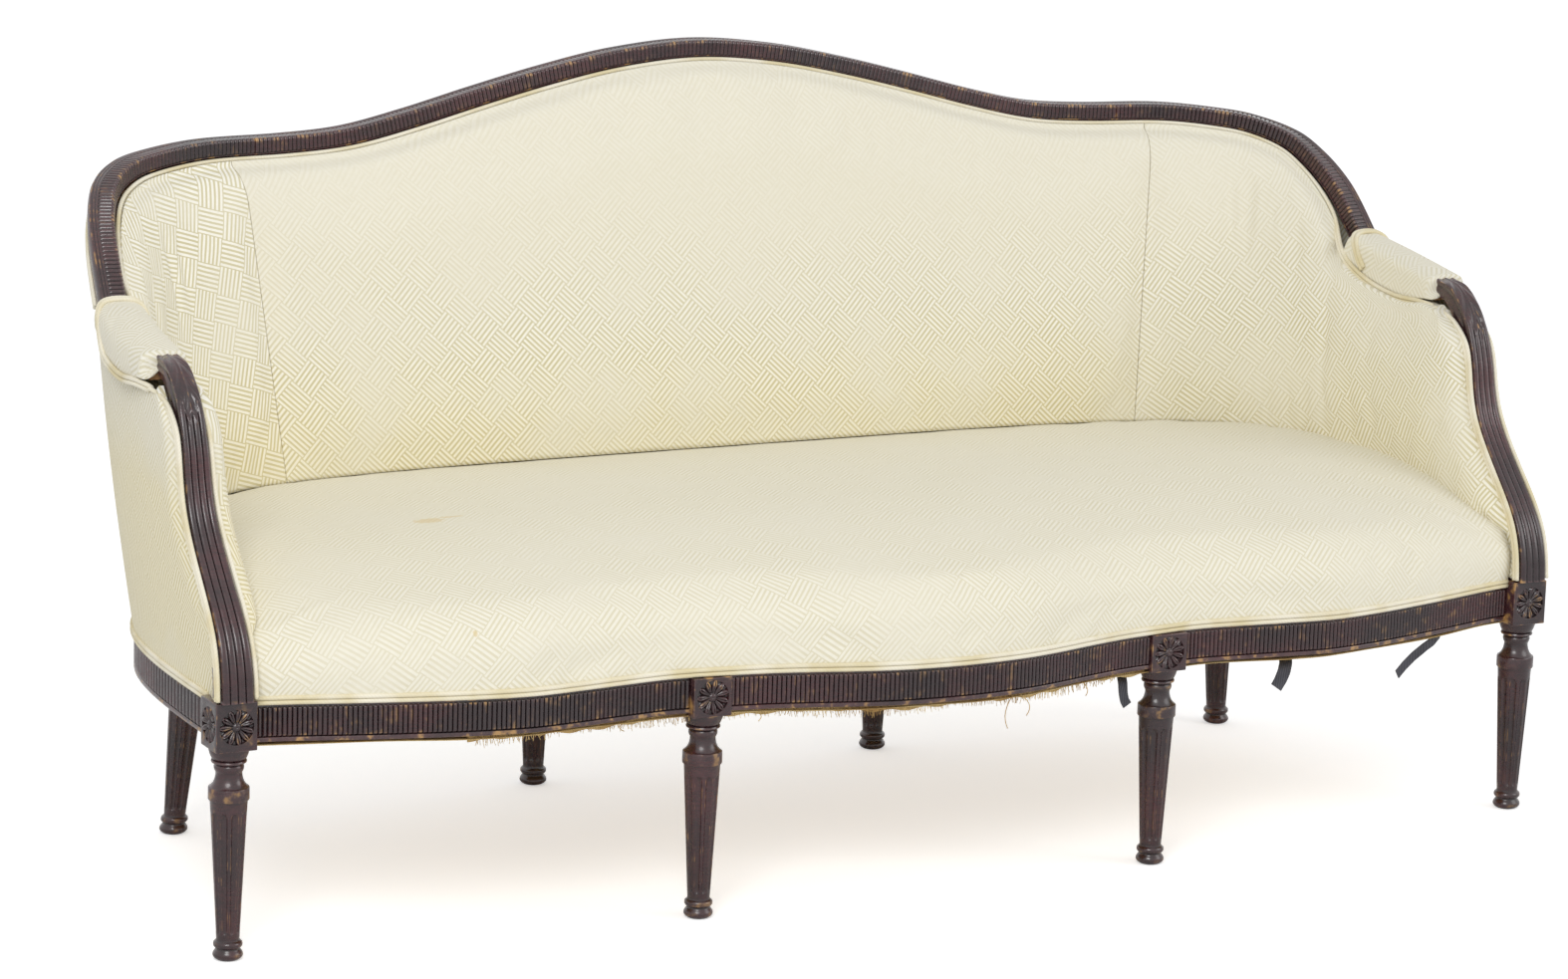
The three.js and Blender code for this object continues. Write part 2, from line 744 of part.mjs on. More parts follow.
// Tacking rails between the posts, which hold the lower edges of the inside covers
function tackRing(share, fromFront = false) {
  const top = tackRailBottom + tackRailHeight;
  const corners = [[memberDepth, tackRailBottom], [memberDepth, top], [memberFront, top],
    [memberFront, tackRailBottom]];
  return corners.map(([depth, z]) => wallAt(fromFront ? share * frontShare(z) : share, z, depth).point);
}

function addTackRails() {
  const half = (postWidth / 2 + clearance) / outlineWalk(tackRailBottom).total;
  const middle = postShare(middlePostFootShare, middlePostHeadShare, tackRailBottom);
  const lean = postShare(middlePostFootShare, middlePostHeadShare, tackRailBottom + tackRailHeight) - middle;
  const centre = sharesBetween(-middle - lean + half, middle + lean - half, 2);
  addPiece('tack_rail_centre', skin(centre.map((share) => tackRing(share))), frameWood);
  for (const [side, sign] of [['left', -1], ['right', 1]]) {
    const back = sharesBetween(middle + half, rearCornerShare - half, tackStations);
    addPiece(`tack_rail_${side}`, skin(back.map((share) => tackRing(sign * share))), frameWood);
    const arm = sharesBetween(rearCornerShare + half, 1 - half, tackStations).slice(0, -1)
      .filter((share) => share < frontShare(tackRailBottom + tackRailHeight) - half);
    const rings = arm.map((share) => tackRing(sign * share));
    rings.push(tackRing(sign, true));
    addPiece(`side_tack_rail_${side}`, skin(rings), frameWood);
  }
}

// Seat braces, webbing and bottom canvas
function addBraces() {
  const half = braceWidth / 2;
  const front = blockSize / 2 - middleLegForward + clearance;
  const rear = rearRailFace - rearBlockSize - clearance;
  const low = railTop - braceHeight;
  for (const [side, sign] of [['left', -1], ['right', 1]]) {
    const rings = [[middleLegSpan, front], [rearMiddleSpan, rear]].map(([x, y]) => [
      new THREE.Vector3(sign * x - half, y, low), new THREE.Vector3(sign * x + half, y, low),
      new THREE.Vector3(sign * x + half, y, railTop), new THREE.Vector3(sign * x - half, y, railTop)]);
    addPiece(`seat_brace_${side}`, skin(rings), frameWood);
  }
}

// Braces across the corners of the seat frame, one behind each corner leg's block
function prismBetween(plan, low, high) {
  return skin([low, high].map((z) => plan.map(({ x, y }) => new THREE.Vector3(x, y, z))));
}

function addCornerBraces() {
  const low = (railBottom + railTop - blockBraceHeight) / 2;
  const depth = railThickness + clearance;
  const edge = sideRailFace - depth;
  const half = blockBraceWidth / 2;
  const railBack = (x) => Math.max(frontFace(x - half), frontFace(x + half)) + depth;
  const width = blockBraceWidth / outlineWalk(railTop).total;
  for (const [side, sign] of [['left', -1], ['right', 1]]) {
    const front = [edge - blockBraceFoot - half, edge - blockBraceFoot + half]
      .map((x) => new THREE.Vector3(sign * x, railBack(x), 0));
    const outer = [blockBraceFoot, blockBraceFoot + blockBraceWidth].map((y) => (
      wallAt(sign * shareAtBack(y, railTop), railTop, depth).point));
    const frontBrace = prismBetween([...front, ...outer], low, low + blockBraceHeight);
    addPiece(`corner_brace_front_${side}`, frontBrace, frameWood);
    const rear = [-blockBraceReach - width, -blockBraceReach, blockBraceReach, blockBraceReach + width]
      .map((aside) => wallAt(sign * (rearCornerShare + aside), railTop, depth + restGap).point);
    addPiece(`corner_brace_rear_${side}`, prismBetween(rear, low, low + blockBraceHeight), frameWood);
  }
}

function blockCutters() {
  const grown = clearance * 2;
  const cutters = [];
  for (const sign of [-1, 1]) {
    cutters.push(legBlock(blockSize + grown, railTop).translate(sign * cornerLegSpan, 0, 0));
    cutters.push(legBlock(blockSize + grown, railTop).translate(sign * middleLegSpan, -middleLegForward, 0));
    cutters.push(legBlock(rearBlockSize + grown, railTop)
      .translate(sign * rearMiddleSpan, rearRailFace - rearBlockSize / 2, 0));
    const corner = rearBlockAt(sign * rearCornerShare);
    cutters.push(legBlock(rearBlockSize + grown, railTop)
      .rotateZ(Math.atan2(corner.normal.y, corner.normal.x)).translate(corner.point.x, corner.point.y, 0));
  }
  return cutters;
}

function rearFaceAt(x) {
  const walk = outlineWalk(railTop);
  let i = 1;
  while (i < outlineSteps && walk.points[i].x < Math.abs(x)) i += 1;
  const run = (Math.abs(x) - walk.points[i - 1].x) / (walk.points[i].x - walk.points[i - 1].x);
  return THREE.MathUtils.lerp(walk.points[i - 1].y, walk.points[i].y, run);
}

function addWebbing() {
  const top = railBottom - clearance;
  const low = top - webThickness;
  const half = webWidth / 2;
  const straps = [];
  for (const share of webAcrossShares) {
    for (const x of [-share * cornerLegSpan, share * cornerLegSpan]) {
      const front = Math.max(frontFace(x - half), frontFace(x + half)) + railThickness - webOverlap;
      const rear = rearFaceAt(Math.abs(x) + half) - railThickness + webOverlap;
      const corner = new THREE.Vector3(x - half, front, low);
      straps.push(boxBetween(corner, new THREE.Vector3(x + half, rear, top)));
    }
  }
  for (const share of webBackShares) {
    const y = share * rearRailFace;
    const edge = wallAt(shareAtBack(y + half, railTop), railTop, railThickness - webOverlap).point.x;
    straps.push(boxBetween(new THREE.Vector3(-edge, y - half, low), new THREE.Vector3(edge, y + half, top)));
  }
  addPiece('seat_webbing', cutBy(joined(straps), blockCutters()), webCloth);
}

function addCanvas() {
  const top = railBottom - clearance * 2 - webThickness;
  const edge = cornerLegSpan - blockSize / 2;
  const front = sharesBetween(-edge, edge, canvasFrontStations)
    .map((x) => new THREE.Vector2(x, frontFace(x) + canvasInset));
  const round = sharesBetween(1, -1, canvasRoundStations).map((share) => {
    const { point } = wallAt(share, railTop, canvasInset);
    return new THREE.Vector2(point.x, point.y);
  });
  const sheet = new THREE.ExtrudeGeometry(new THREE.Shape([...front, ...round]), {
    depth: canvasThickness, bevelEnabled: false,
  }).translate(0, 0, top - canvasThickness);
  addPiece('bottom_canvas', cutBy(sheet, blockCutters()), canvasCloth);
}

function addBackWebbing() {
  const rear = memberFront + clearance;
  const strip = (shares, heights) => skin(heights.map((z) => shares.flatMap((share, i) => (
    (i ? [rear + webThickness, rear] : [rear, rear + webThickness])
      .map((depth) => wallAt(share, z, depth).point)))));
  const low = tackRailBottom;
  const span = crestTop - low;
  const straps = [];
  for (const share of backWebShares) {
    const half = webWidth / 2 / outlineWalk(crestTop).total;
    const top = heightUnder(Math.abs(share) + half, crestHeel + restGap);
    straps.push(strip([share - half, share + half], sharesBetween(low, top, 3)));
  }
  for (const share of backWebHeightShares) {
    const z = low + share * span;
    straps.push(strip([-middlePostHeadShare, middlePostHeadShare], [z, z + webWidth]));
  }
  addPiece('back_webbing', joined(straps), webCloth);
}

// Seat cover over its stuffing: rings that rise from the rails, roll over the edge and crown the deck
function deckHeight(x, y) {
  const back = THREE.MathUtils.clamp((y - frontFace(x)) / deckRun, 0, 1);
  const aside = Math.abs(x) / cornerLegSpan;
  return deckCrown - (deckCrown - deckFront) * (1 - back) ** 2 - deckSideDrop * aside ** 4;
}

function seatLoop() {
  const edge = cornerLegSpan - blockSize / 2 - clearance;
  const front = sharesBetween(-edge, edge, seatFrontStations).map((x) => ({ x, y: frontFace(x), front: 1 }));
  const round = sharesBetween(1, -1, seatRoundStations).map((share) => {
    const { point } = wallAt(share, railTop, seatInset);
    return { x: point.x, y: point.y, front: 0 };
  });
  return [...front, ...round];
}

function seatRing(loop, inset, dropShare, bulge) {
  const middle = (rearRailFace - seatInset) / 2;
  return loop.map(({ x, y, front }) => {
    const radius = front ? rollRadius : edgeRadius;
    const reach = Math.hypot(x, y - middle);
    const keep = 1 - (inset * radius) / reach;
    const px = x * keep;
    const py = middle + (y - middle) * keep - bulge * front;
    const top = deckHeight(px, py);
    return new THREE.Vector3(px, py, top - dropShare * radius);
  });
}

function seatGeometry() {
  const loop = seatLoop();
  const bottom = railTop + clearance;
  const base = loop.map(({ x, y }) => new THREE.Vector3(x, y, bottom));
  const waist = loop.map(({ x, y, front }) => (
    new THREE.Vector3(x, y - frontBulge * front, bottom + rollRadius)));
  const rings = [base, waist, seatRing(loop, 0, 1, frontBulge)];
  rings.push(seatRing(loop, rollShare, rollShare, 0), seatRing(loop, 1, 0, 0));
  const middle = (rearRailFace - seatInset) / 2;
  for (const keep of deckRingShares) {
    rings.push(loop.map(({ x, y }) => {
      const px = x * keep;
      const py = middle + (y - middle) * keep;
      return new THREE.Vector3(px, py, deckHeight(px, py));
    }));
  }
  return skin(rings);
}

// Inside covers over their stuffing. A column runs up the wall at one share, from the deck to the edge of
// the wood or the pad, and is tucked in towards that edge and towards the arm support.
function seatContact(share) {
  const { point } = wallAt(share, deckCrown, stuffingDepth);
  return deckHeight(point.x, point.y) + restGap;
}

function padBlend(share) {
  return THREE.MathUtils.smoothstep(share, crestEndShare - padBlendShare, crestEndShare - padBlendShare / 3);
}

function topPlace(share, drop) {
  const underPad = Math.max(padDropAt(share), padTopSkin + clearance + armRailHeight);
  return dropPlace(share, THREE.MathUtils.lerp(drop, underPad, padBlend(share)) + edgeGap);
}

function tuck(distance) {
  const run = THREE.MathUtils.clamp(distance / tuckRun, 0, 1);
  return Math.sqrt(run * (2 - run));
}

// A place on a wall column: its share, its height and how far it lies below and behind the two edges.
// Columns start upright at the seam and lean over to follow the arm support at the front.
function columnPlace(share, rise, low, drop) {
  const run = Math.max((share - seamShare) / (armFrontShare - seamShare), 0);
  const lastEdge = topPlace(armFrontShare, drop);
  const slide = frontShare(lastEdge.z) - lastEdge.share;
  const top = topPlace(share + slide * run ** 3, drop);
  const z = THREE.MathUtils.lerp(low, top.z, rise);
  const straight = THREE.MathUtils.lerp(share, top.share, rise);
  const front = frontShare(z);
  const last = THREE.MathUtils.lerp(armFrontShare, topPlace(armFrontShare + slide, drop).share, rise);
  const held = straight + (front - last) * run ** 3;
  return { share: held, z, toTop: top.z - z, toFront: (front - held) * outlineWalk(z).total };
}

function insideRing(share, low) {
  const sign = share < 0 ? -1 : 1;
  const place = Math.abs(share);
  const topEdge = THREE.MathUtils.lerp(stuffingEdge, padWidth - padOverhang + restGap, padBlend(place));
  const face = insideRiseShares.map((rise) => {
    const at = columnPlace(place, rise, low, crestFace);
    const belowTop = THREE.MathUtils.lerp(topEdge, stuffingDepth, tuck(at.toTop));
    const behindFront = THREE.MathUtils.lerp(stuffingEdge, stuffingDepth, tuck(at.toFront));
    return wallAt(sign * at.share, at.z, Math.min(belowTop, behindFront)).point;
  });
  const rear = insideRiseShares.map((rise) => {
    const at = columnPlace(place, rise, low, crestHeel);
    return wallAt(sign * at.share, at.z, stuffingRear).point;
  }).reverse();
  return [...face, ...rear];
}

function outsideRing(share) {
  const sign = share < 0 ? -1 : 1;
  const low = railTop + clearance;
  const face = outsideRiseShares.map((rise) => {
    const at = columnPlace(Math.abs(share), rise, low, crestHeel);
    return wallAt(sign * at.share, at.z, -outsideBulge * Math.sin(rise * Math.PI)).point;
  });
  const rear = outsideRiseShares.map((rise) => {
    const at = columnPlace(Math.abs(share), rise, low, crestHeel);
    return wallAt(sign * at.share, at.z, coverThickness).point;
  }).reverse();
  return [...face, ...rear];
}

// Shares of the columns from a seam to the front, closer where the crest falls to the arm
function wingShares(from) {
  const steep = crestEndShare - (crestEndShare - from) / 4;
  return [...sharesBetween(from, steep, wingStations),
    ...sharesBetween(steep, crestEndShare, wingSteepStations).slice(1),
    ...sharesBetween(crestEndShare, armFrontShare, padStations).slice(1)];
}

function addCovers() {
  const gap = restGap / outlineWalk(railTop).total;
  const inner = sharesBetween(-seamShare + gap, seamShare - gap, insideStations);
  const centre = skin(inner.map((share) => insideRing(share, seatContact(share))), true);
  addPiece('inside_back_centre', centre, cloth);
  const outer = sharesBetween(-outsideSeamShare + gap, outsideSeamShare - gap, outsideStations);
  addPiece('outside_back', skin(outer.map(outsideRing), true), cloth);
  for (const [side, sign] of [['left', -1], ['right', 1]]) {
    const wing = wingShares(seamShare).map((share) => insideRing(sign * share, seatContact(share)));
    addPiece(`inside_back_${side}`, skin(wing, true), cloth);
    const arm = wingShares(outsideSeamShare).map((share) => outsideRing(sign * share));
    addPiece(`outside_arm_${side}`, skin(arm, true), cloth);
  }
}

addFrontLegs();
addRearLegs();
addRosettes();
addFrontRails();
addSideAndRearRails();
addArmSupports();
addCrestRail();
addArms();
addPosts();
addTackRails();
addBraces();
addCornerBraces();
addWebbing();
addCanvas();
addBackWebbing();
addPiece('seat_cover', seatGeometry(), cloth);
addCovers();

const box = new THREE.Box3().setFromObject(settee);
settee.position.y = -(box.min.y + box.max.y) / 2;

export default settee;
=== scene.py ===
# %% [markdown]
# # A camelback settee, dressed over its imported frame
# The settee is a long tight-upholstered seat with a serpentine front, a back that rises in one hump like a
# camel's, and arms that sweep forward out of it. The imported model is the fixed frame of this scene. Each
# cell below makes one part of the settee over that frame, in the same place and at the same size.

import math
import random

import bmesh
import bpy
import numpy as np
from mathutils import Matrix, Vector


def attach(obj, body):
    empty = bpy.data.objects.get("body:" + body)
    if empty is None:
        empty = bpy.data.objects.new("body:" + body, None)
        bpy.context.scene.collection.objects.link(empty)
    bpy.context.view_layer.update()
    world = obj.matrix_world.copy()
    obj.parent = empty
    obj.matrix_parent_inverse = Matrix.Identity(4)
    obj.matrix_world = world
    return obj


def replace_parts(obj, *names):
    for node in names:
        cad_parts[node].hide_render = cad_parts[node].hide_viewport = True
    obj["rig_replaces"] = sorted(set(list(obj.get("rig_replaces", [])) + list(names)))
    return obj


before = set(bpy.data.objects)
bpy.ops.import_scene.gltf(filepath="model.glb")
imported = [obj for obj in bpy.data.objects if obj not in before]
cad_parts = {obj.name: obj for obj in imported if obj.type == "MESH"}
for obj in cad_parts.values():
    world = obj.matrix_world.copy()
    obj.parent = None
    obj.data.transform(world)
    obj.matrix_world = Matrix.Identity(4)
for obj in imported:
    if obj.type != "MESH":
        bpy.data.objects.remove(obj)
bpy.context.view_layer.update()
print("nodes in the frame:", len(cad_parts))

# %% [markdown]
# ## The camera
# A camera is a place, a direction and a lens. The perspective lines of the seat rail and the crest give all
# three: the settee is seen from its left front, from a little above, through a long lens. The picture is
# taken to be 1574 by 983 pixels, and the lens is set for its long side.

# %% Camera
eye = Vector((-2.9875, -5.6293, 1.7974))
yaw, pitch, roll = (math.radians(a) for a in (27.5558, 11.93, 1.7322))
ahead = Vector((math.sin(yaw) * math.cos(pitch), math.cos(yaw) * math.cos(pitch), -math.sin(pitch)))
level = Vector((math.cos(yaw), -math.sin(yaw), 0))
above = level.cross(ahead)
right_hand = level * math.cos(roll) + above * math.sin(roll)
overhead = -level * math.sin(roll) + above * math.cos(roll)

lens = bpy.data.cameras.new("camera")
lens.sensor_fit = "HORIZONTAL"
lens.sensor_width = 36
lens.lens = 113.85
camera = bpy.data.objects.new("camera", lens)
bpy.context.scene.collection.objects.link(camera)
turn = Matrix((right_hand, overhead, -ahead)).transposed()
camera.matrix_world = Matrix.Translation(eye) @ turn.to_4x4()
bpy.context.scene.camera = camera
print("camera is", round(eye.length, 2), "m from the settee's middle")

# %% [markdown]
# ## Materials: one helper, and colours as a painter writes them
# Every material below is a small network of nodes. One helper adds a node, sets its sockets and joins the
# ones that are given another node's output. Colours are written as sRGB hex values and turned to the linear
# values that Blender's sockets hold.


# %% Node helper and colour
def linear(code):
    channels = [int(code[i:i + 2], 16) / 255 for i in (1, 3, 5)]
    return tuple(c / 12.92 if c <= 0.04045 else ((c + 0.055) / 1.055) ** 2.4 for c in channels) + (1,)


def add(tree, kind, sockets=None, **settings):
    node = tree.nodes.new(kind)
    for name, value in settings.items():
        setattr(node, name, value)
    for name, value in (sockets or {}).items():
        if isinstance(value, bpy.types.NodeSocket):
            tree.links.new(value, node.inputs[name])
        else:
            node.inputs[name].default_value = value
    return node


def new_material(name):
    material = bpy.data.materials.new(name)
    material.use_nodes = True
    material.node_tree.nodes.clear()
    return material, material.node_tree


def blend_of(tree, share, first, second):
    mix = add(tree, "ShaderNodeMix", data_type="RGBA")
    for socket, value in ((mix.inputs[0], share), (mix.inputs[6], first), (mix.inputs[7], second)):
        if isinstance(value, bpy.types.NodeSocket):
            tree.links.new(value, socket)
        else:
            socket.default_value = linear(value) if isinstance(value, str) else value
    return mix.outputs[2]


def sum_of(tree, operation, *values):
    return add(tree, "ShaderNodeMath", dict(enumerate(values)), operation=operation).outputs[0]


def step_of(tree, value, low, high, start=0, end=1):
    return add(tree, "ShaderNodeMapRange", {
        "Value": value, "From Min": low, "From Max": high, "To Min": start, "To Max": end,
    }, interpolation_type="SMOOTHSTEP").outputs[0]


def object_place(tree):
    return add(tree, "ShaderNodeTexCoord").outputs["Object"]


def laid(tree, place, **sockets):
    return add(tree, "ShaderNodeMapping", {"Vector": place, **sockets}).outputs[0]


def noise(tree, place, scale, detail):
    return add(tree, "ShaderNodeTexNoise", {"Vector": place, "Scale": scale, "Detail": detail}).outputs["Fac"]


def wave(tree, place, scale, distortion, way="X", **sockets):
    return add(tree, "ShaderNodeTexWave", {
        "Vector": place, "Scale": scale, "Distortion": distortion, **sockets,
    }, bands_direction=way).outputs["Fac"]


def surface(tree, body, height, strength, distance, **sockets):
    """Closes a material with its colour, its other sockets, and a bump whose height is in metres."""
    dent = add(tree, "ShaderNodeBump", {"Height": height, "Strength": strength, "Distance": distance})
    named = {name.replace("_", " "): value for name, value in sockets.items()}
    skin = add(tree, "ShaderNodeBsdfPrincipled", {
        "Base Color": body, "IOR": 1.5, "Normal": dent.outputs[0], **named,
    })
    add(tree, "ShaderNodeOutputMaterial", {"Surface": skin.outputs[0]})


print("white in linear values:", linear("#ffffff"))

# %% [markdown]
# ## The floor and the light
# A studio sweep shows as plain white, with only the soft shadow under the settee. The floor is a pale matt
# sheet. Rays that come straight from the camera see it mostly as plain white light, so the shadow stays
# faint. The world lights the settee evenly, and a large soft lamp at the upper left gives the wood and the
# padding their shape.

# %% Floor and lamps
scene = bpy.context.scene
scene.view_settings.view_transform = "Standard"

world = bpy.data.worlds.new("studio")
scene.world = world
world.use_nodes = True
tree = world.node_tree
tree.nodes.clear()
path = add(tree, "ShaderNodeLightPath")
seen = sum_of(tree, "MAXIMUM", path.outputs["Is Camera Ray"], path.outputs["Is Transmission Ray"])
seen = sum_of(tree, "MAXIMUM", seen, path.outputs["Is Glossy Ray"])
white = add(tree, "ShaderNodeBackground", {"Color": (1, 1, 1, 1), "Strength": 1.0})
soft = add(tree, "ShaderNodeBackground", {"Color": linear("#f6f7f9"), "Strength": 0.68})
sky = add(tree, "ShaderNodeMixShader", {0: seen, 1: soft.outputs[0], 2: white.outputs[0]})
add(tree, "ShaderNodeOutputWorld", {"Surface": sky.outputs[0]})

sweep_paper, tree = new_material("white_sweep_paper")
path = add(tree, "ShaderNodeLightPath")
paper = add(tree, "ShaderNodeBsdfDiffuse", {"Color": linear("#f4f4f4")})
lift = sum_of(tree, "MULTIPLY", path.outputs["Is Camera Ray"], 0.5)
glow = add(tree, "ShaderNodeEmission", {"Color": (1, 1, 1, 1), "Strength": lift})
both = add(tree, "ShaderNodeAddShader", {0: paper.outputs[0], 1: glow.outputs[0]})
add(tree, "ShaderNodeOutputMaterial", {"Surface": both.outputs[0]})

bm = bmesh.new()
bmesh.ops.create_grid(bm, x_segments=1, y_segments=1, size=30)
sheet = bpy.data.meshes.new("floor")
bm.to_mesh(sheet)
bm.free()
floor = bpy.data.objects.new("floor", sheet)
scene.collection.objects.link(floor)
sheet.materials.append(sweep_paper)


def soft_lamp(name, place, target, wide, watts):
    light = bpy.data.lights.new(name, "AREA")
    light.shape = "DISK"
    light.size = wide
    light.energy = watts
    lamp = bpy.data.objects.new(name, light)
    scene.collection.objects.link(lamp)
    lamp.location = place
    lamp.rotation_euler = (Vector(target) - Vector(place)).to_track_quat("-Z", "Y").to_euler()
    return lamp


soft_lamp("key_lamp", (-2.6, -3.4, 3.4), (0, 0, 0.5), 2.2, 95)
soft_lamp("fill_lamp", (3.4, -2.6, 2.2), (0, 0, 0.5), 2.6, 35)

# %% [markdown]
# ## Polished mahogany
# The show-wood is old Cuban mahogany under a dark polish: purple-brown on the faces, red where light strikes
# through, and worn to gold-tan on the proud edges. The hollows are painted nearly black as painted shade, and
# the proud edges also carry a grey-mauve painted sheen. Polish and wax give a low, broken gloss. Grain lines
# run about 1.5 mm apart and the pores are short and fine.
# The wear, the painted sheen and the painted shade follow the carving, so each wooden mesh carries a `relief`
# attribute that says how far a point stands out (above zero) or lies in a hollow (below zero).

# %% Mahogany
mahogany, tree = new_material("polished_mahogany")
place = object_place(tree)
relief = add(tree, "ShaderNodeAttribute", attribute_name="relief").outputs["Fac"]
figure = noise(tree, place, 9, 4)
grain = noise(tree, laid(tree, place, Scale=(60, 60, 420)), 1.6, 3)
rubbed = noise(tree, place, 70, 3)
body = blend_of(tree, step_of(tree, figure, 0.35, 0.65), "#281619", "#482225")
body = blend_of(tree, step_of(tree, grain, 0.42, 0.62, 0, 0.55), body, "#1b0f13")
# Painted shade: the hollows and grooves of the carving are painted nearly black.
hollow_shade = step_of(tree, relief, -0.02, -0.45)
body = blend_of(tree, hollow_shade, body, "#0d0708")
# Proud points: gold-tan where rubbed, as wear and painted highlight, and elsewhere a grey-mauve painted sheen.
proud = step_of(tree, sum_of(tree, "ADD", relief, sum_of(tree, "MULTIPLY", rubbed, 0.5)), 0.42, 0.8)
wear_and_sheen = blend_of(tree, step_of(tree, rubbed, 0.52, 0.66), "#5f4344", "#c79a5e")
body = blend_of(tree, sum_of(tree, "MULTIPLY", proud, 0.8), body, wear_and_sheen)
gloss = step_of(tree, rubbed, 0.3, 0.7, 0.2, 0.4)
surface(tree, body, grain, 0.25, 0.0003, Roughness=gloss, Coat_Weight=0.5, Coat_Roughness=0.16)
print("made", mahogany.name)

# %% [markdown]
# ## Beech for the hidden frame
# Under the covers the frame is plain sawn beech: pale, slightly pink, with short brown flecks about 2 mm
# long. It is left from the saw, so it is matt and its bump is coarse.

# %% Beech
beech, tree = new_material("sawn_beech")
stretched = laid(tree, object_place(tree), Scale=(30, 160, 160))
grain = noise(tree, stretched, 1, 5)
fleck = add(tree, "ShaderNodeTexVoronoi", {"Vector": stretched, "Scale": 3.0}).outputs["Distance"]
body = blend_of(tree, step_of(tree, grain, 0.35, 0.7), "#c79a6b", "#a87a4e")
body = blend_of(tree, step_of(tree, fleck, 0.16, 0.05, 0, 0.6), body, "#7d5634")
surface(tree, body, grain, 0.5, 0.0006, Roughness=0.72)
print("made", beech.name)

# %% [markdown]
# ## Cream fret damask
# The cover is a cotton and silk damask. Raised cream lines about 6 mm apart run in square blocks of
# 36 mm, each block at right angles to its neighbours, and the ground between them is duller and yellower.
# The blocks of the back and seat stand on their corners. The pattern is laid out on the cloth's own UV map,
# in metres along the cloth, so it bends with the cover. A finer rib, about 0.9 mm, stands for the threads.
# Age turns the low part of the back yellow. Towards its top the lines nearly vanish, partly from wear and
# partly as a painted sheen, where the light washes the pattern out. The seat has a rubbed patch and a few
# small stains.


# %% Damask
CELL, CELL_LINES = 0.036, 6


def blot(tree, place, ragged, centre, size):
    """1 inside a ragged blot of the given centre and half size in metres, 0 outside."""
    scale = tuple(1 / s for s in size)
    around = laid(tree, place, Scale=scale, Location=tuple(-c * s for c, s in zip(centre, scale)))
    far = add(tree, "ShaderNodeVectorMath", {0: around}, operation="LENGTH").outputs["Value"]
    return step_of(tree, sum_of(tree, "ADD", far, ragged), 1.5, 1.25)


def damask(name, turned, contrast, tint, wear_and_sheen=1.0, blots=()):
    material, tree = new_material(name)
    cloth = add(tree, "ShaderNodeUVMap", uv_map="cloth").outputs["UV"]
    place = object_place(tree)
    cells = laid(tree, cloth, Rotation=(0, 0, math.radians(turned)), Scale=(1 / CELL, 1 / CELL, 1))
    axes = add(tree, "ShaderNodeSeparateXYZ", {0: cells})
    x, y = axes.outputs[0], axes.outputs[1]
    across, along = sum_of(tree, "FRACT", x), sum_of(tree, "FRACT", y)
    block = sum_of(tree, "ADD", sum_of(tree, "FLOOR", x), sum_of(tree, "FLOOR", y))
    odd = sum_of(tree, "FLOORED_MODULO", block, 2)
    gap = sum_of(tree, "SUBTRACT", across, along)
    line = sum_of(tree, "MULTIPLY_ADD", gap, odd, along)
    phase = sum_of(tree, "FRACT", sum_of(tree, "MULTIPLY", line, CELL_LINES))
    ridge = sum_of(tree, "ABSOLUTE", sum_of(tree, "SUBTRACT", phase, 0.5))
    ridge = step_of(tree, ridge, 0.34, 0.2)
    thread = wave(tree, cloth, 175, 0.6, "Y", Detail=1)
    faded, slub = noise(tree, place, 7, 3), noise(tree, place, 160, 2)
    height = add(tree, "ShaderNodeSeparateXYZ", {0: place}).outputs["Z"]
    shown = step_of(tree, faded, 0.3, 0.62, contrast * 0.45, contrast)
    # Towards the top the lines fade: partly wear, partly a painted sheen where the light washes them out.
    shown = sum_of(tree, "MULTIPLY", shown, step_of(tree, height, 0.58, 0.84, 1, wear_and_sheen))
    low_back = sum_of(tree, "MULTIPLY", step_of(tree, height, 0.66, 0.47), step_of(tree, faded, 0.3, 0.6, 0.5, 1))
    low_back = sum_of(tree, "MULTIPLY", low_back, tint)
    ground = blend_of(tree, low_back, "#cec59f", "#d3c694")
    raised = blend_of(tree, low_back, "#f6f3e8", "#f5eed6")
    plain = blend_of(tree, low_back, "#e6e1cf", "#e5dcba")
    body = blend_of(tree, shown, plain, blend_of(tree, ridge, ground, raised))
    body = blend_of(tree, step_of(tree, slub, 0.35, 0.7, 0, 0.15), body, "#d8d0b4")
    for centre, size in blots:
        stain = blot(tree, place, slub, centre, size)
        body = blend_of(tree, sum_of(tree, "MULTIPLY", stain, 0.6), body, "#d8c28c")
    rise = sum_of(tree, "MULTIPLY_ADD", thread, 0.16, sum_of(tree, "MULTIPLY", ridge, shown))
    surface(tree, body, rise, 0.5, 0.0005, Roughness=0.86, Sheen_Weight=0.12, Sheen_Roughness=0.4)
    return material


STAINS = [((-0.578, -0.055, 0.456), (0.022, 0.012, 0.05)), ((-0.545, -0.046, 0.457), (0.02, 0.004, 0.05)),
          ((-0.642, -0.35, 0.391), (0.003, 0.02, 0.004)), ((-0.058, 0.272, 0.459), (0.006, 0.004, 0.02))]
# The back and the right wing lose their lines towards the top: partly wear, partly painted sheen.
back_damask = damask("fret_damask_back", 45, 1.0, 0.8, wear_and_sheen=0.15)
right_damask = damask("fret_damask_right_wing", 33, 1.0, 0.5, wear_and_sheen=0.2)
left_damask = damask("fret_damask_left_wing", -18, 1.0, 1.0)
seat_damask = damask("fret_damask_seat", 45, 0.45, 0.1, blots=STAINS)
outside_damask = damask("fret_damask_outside", 40, 1.0, 1.5)
pad_damask = damask("fret_damask_pad", 45, 0.5, 0.0)

# %% [markdown]
# ## Welt cord, hessian and webbing
# The double welt is two cords, each covered with a bias strip of the same cloth, so its ribs wind round
# it. The bottom canvas is jute hessian, an open plain weave of threads about 1.6 mm apart. The webbing is
# dark twilled jute, 46 mm wide.

